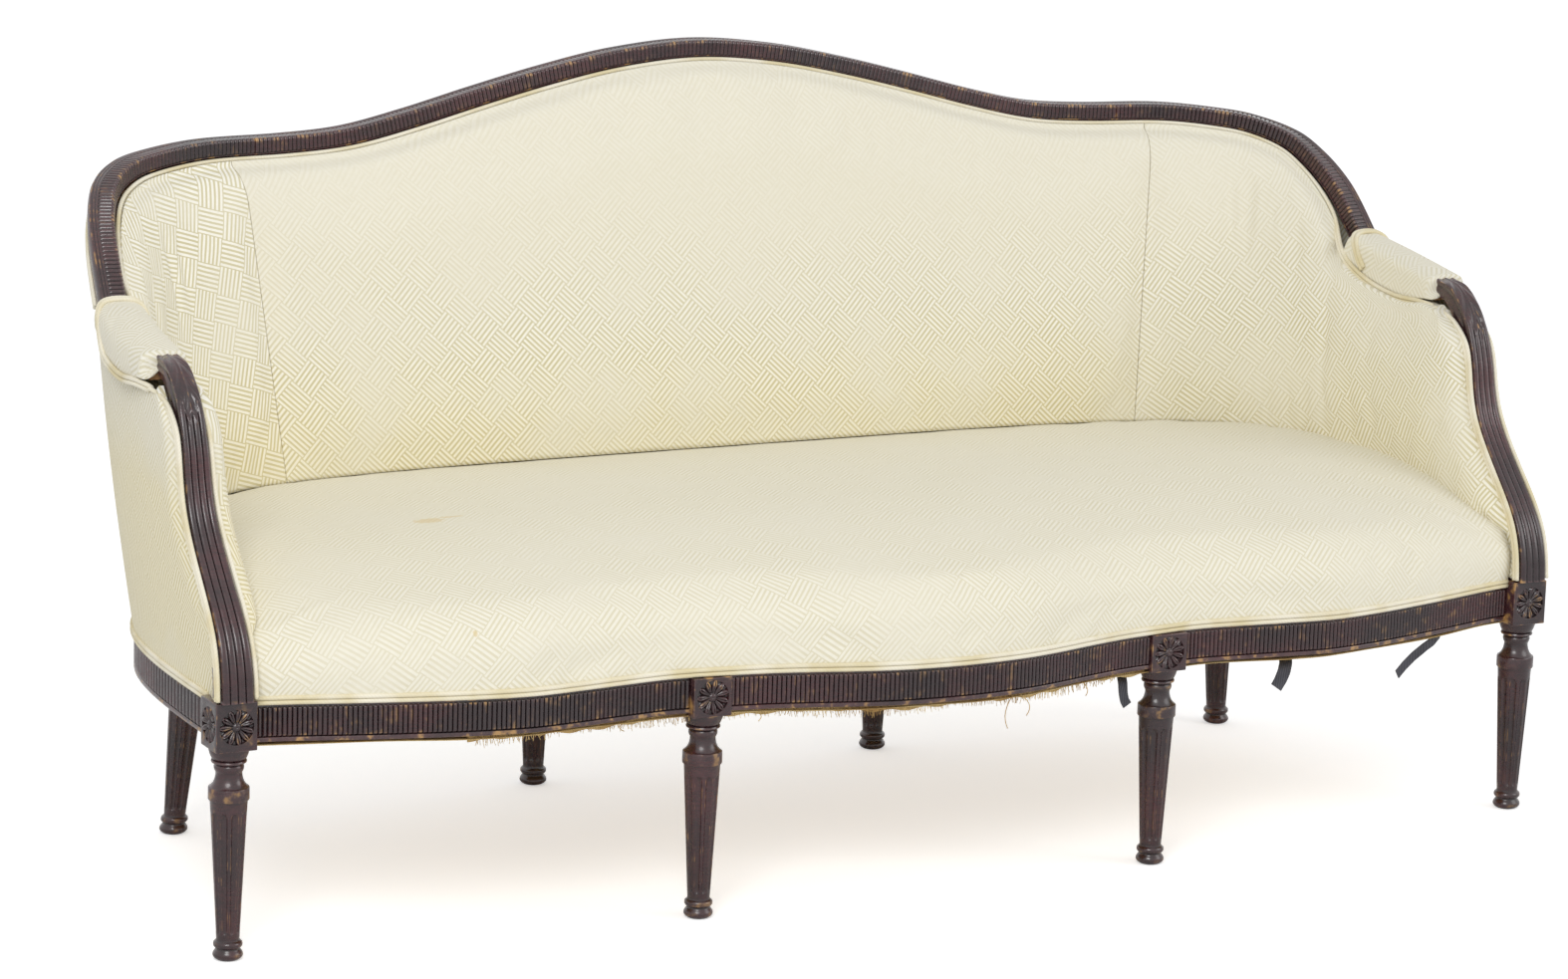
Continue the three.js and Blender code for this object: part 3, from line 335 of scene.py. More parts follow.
# %% Welt, hessian and webbing materials
welt_cloth, tree = new_material("bias_cut_welt")
cloth = add(tree, "ShaderNodeUVMap", uv_map="cloth").outputs["UV"]
twist = wave(tree, laid(tree, cloth, Rotation=(0, 0, math.radians(40))), 95, 0.4)
soil = noise(tree, object_place(tree), 14, 4)
body = blend_of(tree, step_of(tree, soil, 0.35, 0.7), "#efe9d6", "#dccfa6")
body = blend_of(tree, sum_of(tree, "MULTIPLY", twist, 0.18), body, "#c9bd98")
surface(tree, body, twist, 0.35, 0.0004, Roughness=0.88, Sheen_Weight=0.1)

hessian, tree = new_material("jute_hessian")
place = object_place(tree)
weave = sum_of(tree, "MAXIMUM", wave(tree, place, 98, 1.2), wave(tree, place, 98, 1.2, "Y"))
dust = noise(tree, place, 12, 5)
# The jute's own tan, painted lighter as painted light to offset the shade under the rail.
body = blend_of(tree, step_of(tree, dust, 0.3, 0.7), "#e3c98f", "#b8955c")
body = blend_of(tree, step_of(tree, weave, 0.75, 0.35, 0, 0.5), body, "#8a6c42")
surface(tree, body, weave, 0.7, 0.0006, Roughness=0.95)

webbing, tree = new_material("dark_jute_webbing")
place = object_place(tree)
twill = wave(tree, laid(tree, place, Rotation=(0, 0, math.radians(45))), 120, 0.8)
dust = noise(tree, place, 25, 4)
body = blend_of(tree, step_of(tree, dust, 0.3, 0.7), "#43434a", "#2b2b30")
body = blend_of(tree, sum_of(tree, "MULTIPLY", twill, 0.4), body, "#66656a")
surface(tree, body, twill, 0.6, 0.0005, Roughness=0.93)
print("materials:", len(bpy.data.materials))

# %% [markdown]
# ## The settee's drawing
# Everything is drawn in millimetres on the frame's own lines. In plan the frame's outside is a superellipse
# that grows, rakes and squares up with height, and the front is a serpentine. Lengths to the back start at
# the front legs' axes, so a finished mesh is moved by `FRAME_BACK` and turned to metres.

# %% Sizes
MM = 0.001
SIDES = (("left", -1), ("right", 1))
FRAME_BACK = -283.0
CLEARANCE = 0.3
LEG_SPAN, MIDDLE_SPAN, MIDDLE_FORWARD = 930, 328, 53
RAIL_BOTTOM, RAIL_TOP, BLOCK_BOTTOM, CORNER_TOP = 267, 312, 262, 322
CREST_TOP, CREST_END_TOP, PAD_FRONT_TOP = 999, 734, 702
SIDE_FACE, REAR_FACE = 945, 612
SEAT_START, CREST_START, SEAT_POWER, CREST_POWER = -254, 26, 5.5, 6.2
SIDE_SPLAY, BACK_RAKE = 24, 90
BLOCK, REAR_BLOCK = 52, 44
BOW_DEPTH, RAIL_THICK = 132, 30
BOW = [
    (0, 1), (0.094, 0.955), (0.155, 0.864), (0.227, 0.72), (0.289, 0.614), (0.36, 0.545), (0.421, 0.508),
    (0.49, 0.548), (0.57, 0.61), (0.636, 0.64), (0.719, 0.56), (0.807, 0.417), (0.885, 0.27), (0.951, 0.136),
    (1, 0.06),
]
CREST = [
    (0, 1), (0.08, 0.962), (0.149, 0.887), (0.219, 0.792), (0.287, 0.694), (0.348, 0.623), (0.407, 0.6),
    (0.49, 0.594), (0.55, 0.565), (0.587, 0.536), (0.635, 0.46), (0.664, 0.37), (0.688, 0.275),
    (0.707, 0.181), (0.736, 0),
]
CREST_END, CREST_SCARF = 0.736, 0.44


# %% [markdown]
# A sweep needs a smooth curve through a few measured points. A cubic Hermite curve passes through each of
# them and takes its slope from the neighbours, which is how a flexible batten lies between nails.


# %% Curves and the wall
def value_at(table, place):
    last = len(table) - 1
    held = min(max(place, table[0][0]), table[last][0])
    i = 0
    while i < last - 1 and held > table[i + 1][0]:
        i += 1
    (x0, y0), (x1, y1) = table[i], table[i + 1]
    before, after = table[max(i - 1, 0)], table[min(i + 2, last)]
    m0 = 0 if i == 0 else (y1 - before[1]) / (x1 - before[0])
    m1 = (after[1] - y0) / (after[0] - x0)
    t, run = (held - x0) / (x1 - x0), x1 - x0
    return ((2 * t**3 - 3 * t**2 + 1) * y0 + (t**3 - 2 * t**2 + t) * run * m0
            + (3 * t**2 - 2 * t**3) * y1 + (t**3 - t**2) * run * m1)


def lerp(a, b, t):
    return a + (b - a) * t


def clamp(value, low=0.0, high=1.0):
    return min(max(value, low), high)


def smooth(value, low, high):
    t = clamp((value - low) / (high - low))
    return t * t * (3 - 2 * t)


def shares(start, end, count):
    return [lerp(start, end, i / (count - 1)) for i in range(count)]


WALK_STEPS = 480
walks = {}


def run_along(line):
    """Lengths from the start of a line of points, one row each."""
    return np.concatenate([[0], np.cumsum(np.linalg.norm(np.diff(line, axis=0), axis=1))])


def walk_at(z):
    key = round(z, 1)
    if key in walks:
        return walks[key]
    rise = (z - RAIL_TOP) / (CREST_TOP - RAIL_TOP)
    half = SIDE_FACE + SIDE_SPLAY * rise
    start = lerp(SEAT_START, CREST_START, rise)
    reach = REAR_FACE + BACK_RAKE * rise - start
    power = lerp(SEAT_POWER, CREST_POWER, rise)
    last = math.acos(max((BLOCK / 2 - start) / reach, 0) ** (power / 2))
    angle = last * np.arange(WALK_STEPS + 1) / WALK_STEPS
    x = half * np.sin(angle) ** (2 / power)
    y = start + reach * np.maximum(np.cos(angle), 0) ** (2 / power)
    lengths = np.concatenate([[0], np.cumsum(np.hypot(np.diff(x), np.diff(y)))])
    walks[key] = (x, y, lengths)
    return walks[key]


def total_at(z):
    return walk_at(z)[2][-1]


def wall(share, z, depth=0.0):
    """A place on the outside of the frame and the outward direction there."""
    x, y, lengths = walk_at(z)
    side = -1 if share < 0 else 1
    length = abs(share) * lengths[-1]
    i = min(max(int(np.searchsorted(lengths, length)), 1), WALK_STEPS)
    step = lengths[i] - lengths[i - 1]
    t = (length - lengths[i - 1]) / step
    ax, ay = (x[i] - x[i - 1]) / step, (y[i] - y[i - 1]) / step
    normal = Vector((-ay * side, ax, 0))
    point = Vector((lerp(x[i - 1], x[i], t) * side, lerp(y[i - 1], y[i], t), z))
    return point - normal * depth, normal


def share_at_back(y, z):
    _, ys, lengths = walk_at(z)
    i = WALK_STEPS
    while i > 1 and ys[i - 1] < y:
        i -= 1
    t = (y - ys[i]) / (ys[i - 1] - ys[i])
    return lerp(lengths[i], lengths[i - 1], t) / lengths[-1]


def front_face(x):
    return -BOW_DEPTH * value_at(BOW, min(abs(x) / (LEG_SPAN - BLOCK / 2), 1))


print("half way round the frame at the rail:", round(total_at(RAIL_TOP)), "mm")

# %% [markdown]
# ## From rings to a mesh
# Most of the settee's parts are one section carried along a curved line: a rail, a crest, an arm, a welt.
# `bmesh.ops.create_grid` gives a flat sheet of quads with as many rows as there are stations. Each row is
# set on its ring in space, the two long edges meet and are merged, and the ends are filled. The same
# helper writes the cloth's own UV map, in metres along and round the piece, before the seam is merged.


# %% Sweep helper
def sweep(rings, closed=True, capped=True, flat=None):
    """A mesh skinned over rings of equal count, in the drawing's millimetres."""
    along, across = len(rings), len(rings[0])
    wide = across if closed else across - 1
    bm = bmesh.new()
    bmesh.ops.create_grid(bm, x_segments=wide, y_segments=along - 1, size=1)
    bm.verts.ensure_lookup_table()
    cloth = bm.loops.layers.uv.new("cloth")
    if flat is None:
        flat = measured(rings, closed)
    index = {v: divmod(i, wide + 1) for i, v in enumerate(bm.verts)}
    for v, (row, place) in index.items():
        v.co = rings[row][place % across]
    for face in bm.faces:
        for loop in face.loops:
            row, place = index[loop.vert]
            loop[cloth].uv = flat[row][place]
    bmesh.ops.remove_doubles(bm, verts=bm.verts, dist=0.002)
    bmesh.ops.dissolve_degenerate(bm, dist=0.0005, edges=bm.edges)
    if capped:
        fill_ends(bm)
    bmesh.ops.recalc_face_normals(bm, faces=bm.faces)
    return bm


def table_of(rings):
    return np.array([[tuple(p) for p in ring] for ring in rings])


def measured(rings, closed):
    """Metres along and round a swept piece, for each of its points."""
    stations = table_of(rings)
    middle = stations.mean(axis=1)
    down = run_along(middle)
    loops = np.concatenate([stations, stations[:, :1]], axis=1) if closed else stations
    steps = np.linalg.norm(np.diff(loops, axis=1), axis=2)
    round_it = np.concatenate([np.zeros((len(rings), 1)), np.cumsum(steps, axis=1)], axis=1)
    return [[(d * MM, r * MM) for r in row] for d, row in zip(down, round_it)]


def spun(profile, steps):
    """A profile of radii and heights turned round the upright axis, as on a lathe."""
    bm = bmesh.new()
    line = [bm.verts.new((r, 0, z)) for r, z in profile]
    edges = [bm.edges.new(pair) for pair in zip(line, line[1:])]
    bmesh.ops.spin(bm, geom=line + edges, cent=(0, 0, 0), axis=(0, 0, 1), angle=2 * math.pi,
                   steps=steps, use_merge=True)
    return bm


def fill_ends(bm):
    bmesh.ops.holes_fill(bm, edges=[e for e in bm.edges if e.is_boundary])


def join(target, other):
    """Adds one bmesh to another."""
    holder = bpy.data.meshes.new("holder")
    other.to_mesh(holder)
    other.free()
    target.from_mesh(holder)
    bpy.data.meshes.remove(holder)
    return target


made_pieces = []


def settle(bm, name, material, replaces=(), smooth_angle=50):
    """Turns the drawing's millimetres into a finished object that rides on the frame."""
    bmesh.ops.scale(bm, vec=(MM, MM, MM), verts=bm.verts)
    bmesh.ops.translate(bm, vec=(0, FRAME_BACK * MM, 0), verts=bm.verts)
    mesh = bpy.data.meshes.new(name)
    bm.to_mesh(mesh)
    bm.free()
    piece = bpy.data.objects.new(name, mesh)
    scene.collection.objects.link(piece)
    mesh.materials.append(material)
    mesh.shade_smooth()
    if smooth_angle < 180:
        mesh.set_sharp_from_angle(angle=math.radians(smooth_angle))
    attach(piece, "root")
    if replaces:
        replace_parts(piece, *replaces)
    made_pieces.append(name)
    return piece


def settle_cloth(bm, name, material, stands_for=()):
    return settle(bm, name, material, stands_for, smooth_angle=180)


def thicken(piece, name, thickness, offset=None):
    thick = piece.modifiers.new(name, "SOLIDIFY")
    thick.thickness = thickness
    if offset is not None:
        thick.offset = offset


# %% [markdown]
# The wear and painted sheen on proud points, and the painted shade in hollows, need to know where a carving
# stands proud. For each point, the average of its neighbours lies below the surface on a ridge and above it
# in a groove. That difference, measured along the normal and divided by the distance to the neighbours, is
# stored as the `relief` attribute.


# %% Relief attribute
def points_of(mesh, kind="co"):
    values = np.empty(len(mesh.vertices) * 3)
    mesh.vertices.foreach_get(kind, values)
    return values.reshape(-1, 3)


def ends_of(mesh):
    ends = np.empty(len(mesh.edges) * 2, dtype=np.int64)
    mesh.edges.foreach_get("vertices", ends)
    return ends.reshape(-1, 2)


def mark_relief(piece, rounds=2):
    mesh = piece.data
    count = len(mesh.vertices)
    place, normal, ends = points_of(mesh), points_of(mesh, "normal"), ends_of(mesh)
    both = np.concatenate([ends, ends[:, ::-1]])
    gap = place[both[:, 1]] - place[both[:, 0]]
    near = 1 / np.maximum(np.linalg.norm(gap, axis=1), 1e-6)
    slope = -(gap * normal[both[:, 0]]).sum(axis=1) * near
    weight = np.bincount(both[:, 0], minlength=count)
    value = np.bincount(both[:, 0], slope, minlength=count) / np.maximum(weight, 1)
    for _ in range(rounds):
        around = np.bincount(both[:, 0], value[both[:, 1]], minlength=count) / np.maximum(weight, 1)
        value = value * 0.5 + around * 0.5
    layer = mesh.attributes.new("relief", "FLOAT", "POINT")
    layer.data.foreach_set("value", np.clip(value * 2.2, -1, 1))


# %% [markdown]
# ## The legs
# Each leg is a turning: a foot of two rings, a tapered shaft with ten round-ended flutes, a neck and a
# cup that carries the square block. A lathe turns a profile round an axis, and `bmesh.ops.spin` does the
# same. The flutes are then pressed into the spun shaft point by point, as a carver's gouge would, because
# no operator cuts a groove that starts and ends in a half round.

# %% Leg profile
FLUTES, FLUTE_DEPTH, LAND = 10, 3.0, 0.36
FLUTE_LOW, FLUTE_HIGH, FLUTE_END = 33, 185, 7
SHAFT_LOW, SHAFT_LENGTH, SHAFT_THIN, SHAFT_WIDE = 29, 170, 14.2, 22.7
TURN_STEPS = 120
LEG_PROFILE = [
    (0, 0), (11.5, 0), (13.6, 0.7), (16.2, 2.4), (18, 4.6), (18.4, 6.4), (17.9, 8.8), (16.4, 11.2),
    (15, 12.8), (14.5, 14), (14.7, 15.2), (16.4, 16), (17.5, 17.6), (17.7, 19.6), (17.3, 21.8),
    (15.9, 23.2), (14.6, 24), (14, 26),
]
NECK_PROFILE = [
    (22.7, 198), (24.3, 198.6), (24.8, 199.6), (24.8, 213), (24.3, 214.2), (22.6, 215), (21.6, 216.2),
    (19.2, 219), (17.2, 223.5), (16.1, 228.5), (15.9, 232.6), (17.2, 234.6), (18.1, 237.4), (18.1, 240),
    (17, 241.8), (16.4, 242.6), (18.8, 243.4), (21, 244.6), (21.6, 246), (21, 247.4), (19.2, 248.2),
    (20.4, 249), (21.8, 251.6), (23.2, 255), (24.2, 258.6), (24.8, 261.6), (24.8, 262.6),
]


def shaft_profile():
    heights = shares(SHAFT_LOW, FLUTE_LOW, 3) + [FLUTE_LOW + d for d in (0.8, 2, 3.5, 5.2, 7)]
    heights += shares(FLUTE_LOW + 12, FLUTE_HIGH - 12, 12)
    heights += [FLUTE_HIGH - d for d in (7, 5.2, 3.5, 2, 0.8, 0)] + [190, 197]
    return [(lerp(SHAFT_THIN, SHAFT_WIDE, (z - SHAFT_LOW) / SHAFT_LENGTH), z) for z in heights]


def flute(angle, z):
    """How deep the gouge lies at an angle and a height."""
    turn = (angle / (2 * math.pi) * FLUTES) % 1
    across = abs(turn - 0.5) / ((1 - LAND) / 2)
    end = min(z - FLUTE_LOW, FLUTE_HIGH - z) / FLUTE_END
    if across >= 1 or end <= 0:
        return 0.0
    end = math.sqrt(clamp(end) * (2 - clamp(end)))
    across = across / end if end > 0 else 1
    return 0.0 if across >= 1 else end * math.sqrt(1 - across**2)


def turned_leg():
    bm = spun(LEG_PROFILE + shaft_profile() + NECK_PROFILE, TURN_STEPS)
    for v in bm.verts:
        if FLUTE_LOW < v.co.z < FLUTE_HIGH:
            radius = math.hypot(v.co.x, v.co.y)
            cut = FLUTE_DEPTH * flute(math.atan2(v.co.y, v.co.x), v.co.z) * radius / SHAFT_WIDE
            v.co.xy *= (radius - cut) / radius
    bmesh.ops.remove_doubles(bm, verts=bm.verts, dist=0.01)
    fill_ends(bm)
    bmesh.ops.recalc_face_normals(bm, faces=bm.faces)
    return bm


# %% [markdown]
# The block on top is where the rails are jointed. It starts as a cube with softened edges. On each face
# that carries a rosette, the four edges are subdivided, the face is inset, and the inset loop is pulled
# to a circle and sunk, which leaves a round recess without any cutting.


# %% Leg block
RECESS_RADIUS, RECESS_DEPTH = 22.6, 3.6


def leg_block(size, top, carved):
    bm = bmesh.new()
    bmesh.ops.create_cube(bm, size=1)
    bmesh.ops.scale(bm, vec=(size, size, top - BLOCK_BOTTOM), verts=bm.verts)
    bmesh.ops.translate(bm, vec=(0, 0, (top + BLOCK_BOTTOM) / 2), verts=bm.verts)
    bmesh.ops.bevel(bm, geom=bm.edges[:], offset=1.3, segments=3, profile=0.5, affect="EDGES", material=-1)
    for way, centre in carved:
        sink_recess(bm, Vector(way), centre)
    return bm


def face_toward(bm, way):
    bm.normal_update()
    return max((f for f in bm.faces if f.normal.dot(way) > 0.99), key=lambda f: f.calc_area())


def sink_recess(bm, way, centre):
    bmesh.ops.subdivide_edges(bm, edges=face_toward(bm, way).edges[:], cuts=11)
    face = face_toward(bm, way)
    bmesh.ops.inset_individual(bm, faces=[face], thickness=1.5, use_even_offset=True)
    middle = face.calc_center_median() * 1.0
    middle.z = centre
    flat = face.verts[0].co.dot(way)
    middle += way * (flat - middle.dot(way))
    for v in face.verts:
        v.co = middle + (v.co - middle).normalized() * RECESS_RADIUS
    for inset, sink in ((0.9, 0.3), (0.2, RECESS_DEPTH)):
        bmesh.ops.inset_individual(bm, faces=[face], thickness=inset, depth=-sink)


def leg(name, x, y, size, top, carved=(), turned=0.0, lean=(0, 0)):
    bm = turned_leg()
    block = leg_block(size, top, carved)
    bmesh.ops.rotate(block, cent=(0, 0, 0), matrix=Matrix.Rotation(turned, 3, "Z"), verts=block.verts)
    bm = join(bm, block)
    for v in bm.verts:
        if v.co.z < BLOCK_BOTTOM:
            v.co.x -= lean[0] * (v.co.z - BLOCK_BOTTOM)
            v.co.y -= lean[1] * (v.co.z - BLOCK_BOTTOM)
    bmesh.ops.translate(bm, vec=(x, y, 0), verts=bm.verts)
    mark_relief(settle(bm, f"{name}_turned", mahogany, [name], smooth_angle=38))


# %% Eight legs
FRONT, CORNER_MIDDLE = (0, -1, 0), (BLOCK_BOTTOM + CORNER_TOP) / 2
LOW_MIDDLE = (BLOCK_BOTTOM + RAIL_TOP) / 2
REAR_CORNER_SHARE, REAR_LEAN, REAR_MIDDLE = 0.59, 0.068, 262
for side, sign in SIDES:
    leg(f"front_leg_{side}", sign * LEG_SPAN, 0, BLOCK, CORNER_TOP,
        [(FRONT, CORNER_MIDDLE), ((sign, 0, 0), CORNER_MIDDLE)])
    leg(f"front_leg_middle_{side}", sign * MIDDLE_SPAN, -MIDDLE_FORWARD, BLOCK, RAIL_TOP, [(FRONT, LOW_MIDDLE)])
    corner, outward = wall(sign * REAR_CORNER_SHARE, RAIL_TOP, REAR_BLOCK / 2)
    leg(f"rear_leg_{side}", corner.x, corner.y, REAR_BLOCK, RAIL_TOP, turned=math.atan2(outward.y, outward.x),
        lean=(sign * REAR_LEAN, REAR_LEAN))
    leg(f"rear_leg_middle_{side}", sign * REAR_MIDDLE, REAR_FACE - REAR_BLOCK / 2, REAR_BLOCK, RAIL_TOP)
print("legs:", len(made_pieces))

# %% [markdown]
# ## The rosettes
# Each block holds a carved roundel: eleven petals round a small boss, sunk a few millimetres into the
# wood. A short profile is spun to a disc of fine rings, and every point is then lifted by the height of
# the carving there: high along a petal's sides, low along its vein and between petals.

# %% Rosettes
ROSETTE_RADIUS, PETALS, PETAL_RISE = 22.2, 11, 4.2


def carving_height(radius, angle):
    turn = (angle / (2 * math.pi) * PETALS) % 1
    aside = abs(turn - 0.5) * 2
    out = radius / ROSETTE_RADIUS
    if out < 0.24:
        ring = math.sqrt(max(1 - (out / 0.24) ** 2, 0))
        return 1.0 + 3.4 * ring - 1.6 * math.exp(-(out / 0.055) ** 2)
    if out > 0.97:
        return 0.2
    width = math.sin(math.pi * clamp((out - 0.2) / 0.8) ** 0.8) ** 0.55
    petal = clamp(1 - (aside / max(width, 0.05)) ** 2.2)
    vein = 0.35 * math.exp(-(aside / 0.14) ** 2)
    lift = lerp(1.8, PETAL_RISE, smooth(out, 0.3, 0.8))
    return 0.3 + lift * max(petal**0.6 - vein * petal, 0)


def rosette_disc():
    radii = [0] + shares(0.6, ROSETTE_RADIUS, 26)
    bm = spun([(r, 0) for r in radii] + [(ROSETTE_RADIUS, -0.6), (0, -0.6)], PETALS * 10)
    bmesh.ops.remove_doubles(bm, verts=bm.verts, dist=0.001)
    for v in bm.verts:
        if v.co.z > -0.3:
            v.co.z = carving_height(math.hypot(v.co.x, v.co.y), math.atan2(v.co.y, v.co.x))
    bmesh.ops.recalc_face_normals(bm, faces=bm.faces)
    return bm


def rosette(name, place, way):
    bm = rosette_disc()
    turn = Vector((0, 0, 1)).rotation_difference(Vector(way)).to_matrix()
    bmesh.ops.rotate(bm, cent=(0, 0, 0), matrix=turn, verts=bm.verts)
    bmesh.ops.translate(bm, vec=Vector(place) - Vector(way) * (RECESS_DEPTH - 0.4), verts=bm.verts)
    mark_relief(settle(bm, f"{name}_carved", mahogany, [name], smooth_angle=60), rounds=1)


for side, sign in SIDES:
    face = BLOCK / 2
    rosette(f"rosette_front_{side}", (sign * LEG_SPAN, -face, CORNER_MIDDLE), FRONT)
    rosette(f"rosette_middle_{side}", (sign * MIDDLE_SPAN, -MIDDLE_FORWARD - face, LOW_MIDDLE), FRONT)
    rosette(f"rosette_side_{side}", (sign * (LEG_SPAN + face), 0, CORNER_MIDDLE), (sign, 0, 0))
print("rosettes: 6, petals on each:", PETALS)

# %% [markdown]
# ## The ribbed seat rails
# The front rail carries a band of upright half-round ribs over a plain fillet, one rib every 6 mm. The two
# side rails have one every 12.5 mm. A rail's section is swept along its curve with six or ten stations to a
# rib, and each station's face is set in or out by the rib's half circle.

# %% Ribbed rails
RIB_PITCH, SIDE_PITCH, RIB_SINK, RIB_END = 6.0, 12.5, 2.6, 3.0
FRONT_STATIONS, SIDE_STATIONS, CREST_STATIONS = 6, 10, 5
BAND_LOW, BAND_HIGH = 273.6, 309.5


def rib(distance, low, high, at):
    """Height of the half-round ribs, 0 in a groove to 1 on top, with rounded ends."""
    across = (distance / RIB_PITCH) % 1
    end = min(at - low, high - at) / RIB_END
    if end <= 0:
        return 0.0
    end = math.sqrt(clamp(end) * (2 - clamp(end)))
    return end * math.sqrt(max(1 - (2 * across - 1) ** 2, 0))


def rail_section(distance):
    """Depth behind the face and height of each point round the rail, ribs included."""
    section = [(0.8, RAIL_BOTTOM), (0, RAIL_BOTTOM + 0.8), (0, 271.6), (0.5, 272.3), (RIB_SINK, 272.8)]
    for z in (273.6, 274.4, 275.4, 276.6, 280, 286, 292, 298, 303, 306.5, 307.7, 308.7, 309.5):
        section.append((RIB_SINK * (1 - rib(distance, BAND_LOW - 0.6, BAND_HIGH, z)), z))
    section += [(RIB_SINK, 310.2), (RIB_SINK, RAIL_TOP), (RAIL_THICK, RAIL_TOP), (RAIL_THICK, RAIL_BOTTOM)]
    return section


def ribbed_rail(name, place_at, length, pitch=RIB_PITCH, stations=FRONT_STATIONS):
    ribs = round(length / pitch)
    rings = []
    for i in range(ribs * stations + 1):
        t = i / (ribs * stations)
        rings.append([place_at(t, depth, z) for depth, z in rail_section(i / stations * RIB_PITCH)])
    mark_relief(settle(sweep(rings), f"{name}_ribbed", mahogany, [name], smooth_angle=60), rounds=1)
    print(name, "ribs:", ribs)


def along_front(start, end):
    marks = np.linspace(start, end, 400)
    heights = np.array([front_face(x) for x in marks])
    run = np.concatenate([[0], np.cumsum(np.hypot(np.diff(marks), np.diff(heights)))])

    def place(t, depth, z):
        x = float(np.interp(t * run[-1], run, marks))
        return Vector((x, front_face(x) + depth, z))
    return place, run[-1]


def along_side(sign):
    step = (REAR_BLOCK / 2 + CLEARANCE) / total_at(RAIL_TOP)
    start, end = REAR_CORNER_SHARE + step, share_at_back(BLOCK / 2 + CLEARANCE, RAIL_TOP)

    def place(t, depth, z):
        point, _ = wall(sign * lerp(start, end, t), RAIL_TOP, depth)
        point.z = z
        return point
    return place, (end - start) * total_at(RAIL_TOP)


inner, outer = MIDDLE_SPAN - BLOCK / 2 - CLEARANCE, MIDDLE_SPAN + BLOCK / 2 + CLEARANCE
last = LEG_SPAN - BLOCK / 2 - CLEARANCE
ribbed_rail("front_rail_centre", *along_front(-inner, inner))
ribbed_rail("front_rail_left", *along_front(-last, -outer))
ribbed_rail("front_rail_right", *along_front(outer, last))
ribbed_rail("side_rail_left", *along_side(-1), SIDE_PITCH, SIDE_STATIONS)
ribbed_rail("side_rail_right", *along_side(1), SIDE_PITCH, SIDE_STATIONS)

# %% [markdown]
# ## The arm supports
# Each support sweeps back and up in an S from the corner leg to the arm. Its front carries four round
# reeds that part at the foot. Its top is a rolled knuckle, carved with a leaf that laps over the reeds.
# The section is swept along the centre line, and the reeds and the leaf are set out from its front.

# %% Support line
SUPPORT_BACK, SUPPORT_RISE = 214, 365
SUPPORT = [
    (1, 1), (0.87, 0.985), (0.75, 0.93), (0.663, 0.855), (0.598, 0.747), (0.561, 0.64), (0.505, 0.543),
    (0.402, 0.452), (0.243, 0.344), (0.093, 0.247), (0, 0.169), (-0.047, 0.089), (-0.065, 0),
]
WIDTH_TOP, WIDTH_BASE, DEPTH_TOP, DEPTH_BASE = 28, 40, 24, 36
support_points = [Vector((0, y * SUPPORT_BACK, CORNER_TOP + CLEARANCE + z * SUPPORT_RISE)) for y, z in SUPPORT]


def support_point(share):
    """A centripetal Catmull-Rom curve through the support's points."""
    last = len(support_points) - 1
    place = clamp(share) * last
    i = min(int(place), last - 1)
    t = place - i
    p1, p2 = support_points[i], support_points[i + 1]
    p0 = support_points[i - 1] if i > 0 else p1 * 2 - p2
    p3 = support_points[i + 2] if i + 2 <= last else p2 * 2 - p1
    d0, d1, d2 = ((b - a).length ** 0.5 for a, b in ((p0, p1), (p1, p2), (p2, p3)))
    m1 = ((p1 - p0) / d0 - (p2 - p0) / (d0 + d1) + (p2 - p1) / d1) * d1
    m2 = ((p2 - p1) / d1 - (p3 - p1) / (d1 + d2) + (p3 - p2) / d2) * d1
    return (p1 * (2 * t**3 - 3 * t**2 + 1) + m1 * (t**3 - 2 * t**2 + t)
            + p2 * (3 * t**2 - 2 * t**3) + m2 * (t**3 - t**2))


def support_frame(share):
    ahead_of, behind = support_point(share + 0.002), support_point(share - 0.002)
    along = (ahead_of - behind).normalized()
    if share >= 1:
        along = Vector((0, 0, -1))
    if share <= 0:
        along = Vector((0, -1, 0))
    return support_point(share), Vector((0, along.z, -along.y))


def support_depth(share):
    return lerp(DEPTH_TOP, DEPTH_BASE, min(share * 2, 1))


def support_side(share, way):
    """Height, place and half width of the support's front (way 1) or rear (way -1)."""
    point, forward = support_frame(share)
    point = point + forward * (way * support_depth(share) / 2)
    return point.z, point.y, lerp(WIDTH_TOP, WIDTH_BASE, share) / 2


rear_line = np.array([support_side(share, -1) for share in shares(0, 1, 241)])


def support_back(z):
    return float(rear_line[np.argmin(np.abs(rear_line[:, 0] - z)), 1])


front_shares = {}


def behind_support(at, z):
    """How far forward cloth at a height may start: behind the support, and behind its leg's block."""
    return max(support_back(at) + 4, BLOCK / 2 + 1 if z < CORNER_TOP + 8 else 0)


def front_share(z):
    key = round(z)
    if key not in front_shares:
        front_shares[key] = share_at_back(behind_support(key, z), z)
    return front_shares[key]


front_line = np.array([support_side(share, 1) for share in shares(1, 0.12, 221)])
CLOTH_BACK, WELT_BACK = 13, 8
KNUCKLE_LOW, KNUCKLE_UNDER = 618, 662


def support_edge(z, back):
    """The line on a support's flank that cloth or welt follows, and half the support's width there."""
    front, half_wide = (float(np.interp(z, front_line[:, 0], front_line[:, k])) for k in (1, 2))
    return lerp(front + back, support_back(z) + 3, smooth(z, KNUCKLE_LOW, KNUCKLE_UNDER)), half_wide


print("support runs back", round(rear_line[:, 1].max()), "mm and up to", round(rear_line[:, 0].max()), "mm")

# %% [markdown]
# The leaf is drawn as heights over the knuckle: a raised midrib, three lobes to a side that curl out and
# down from it, and a rim that ends in points over the reeds.


# %% Reeds and leaf
REEDS, REED_RISE = 4, 2.4
LEAF_END = 0.27


def reed(aside):
    turn = ((aside + 1) / 2 * REEDS) % 1
    return math.sqrt(max(1 - (2 * turn - 1) ** 2, 0))


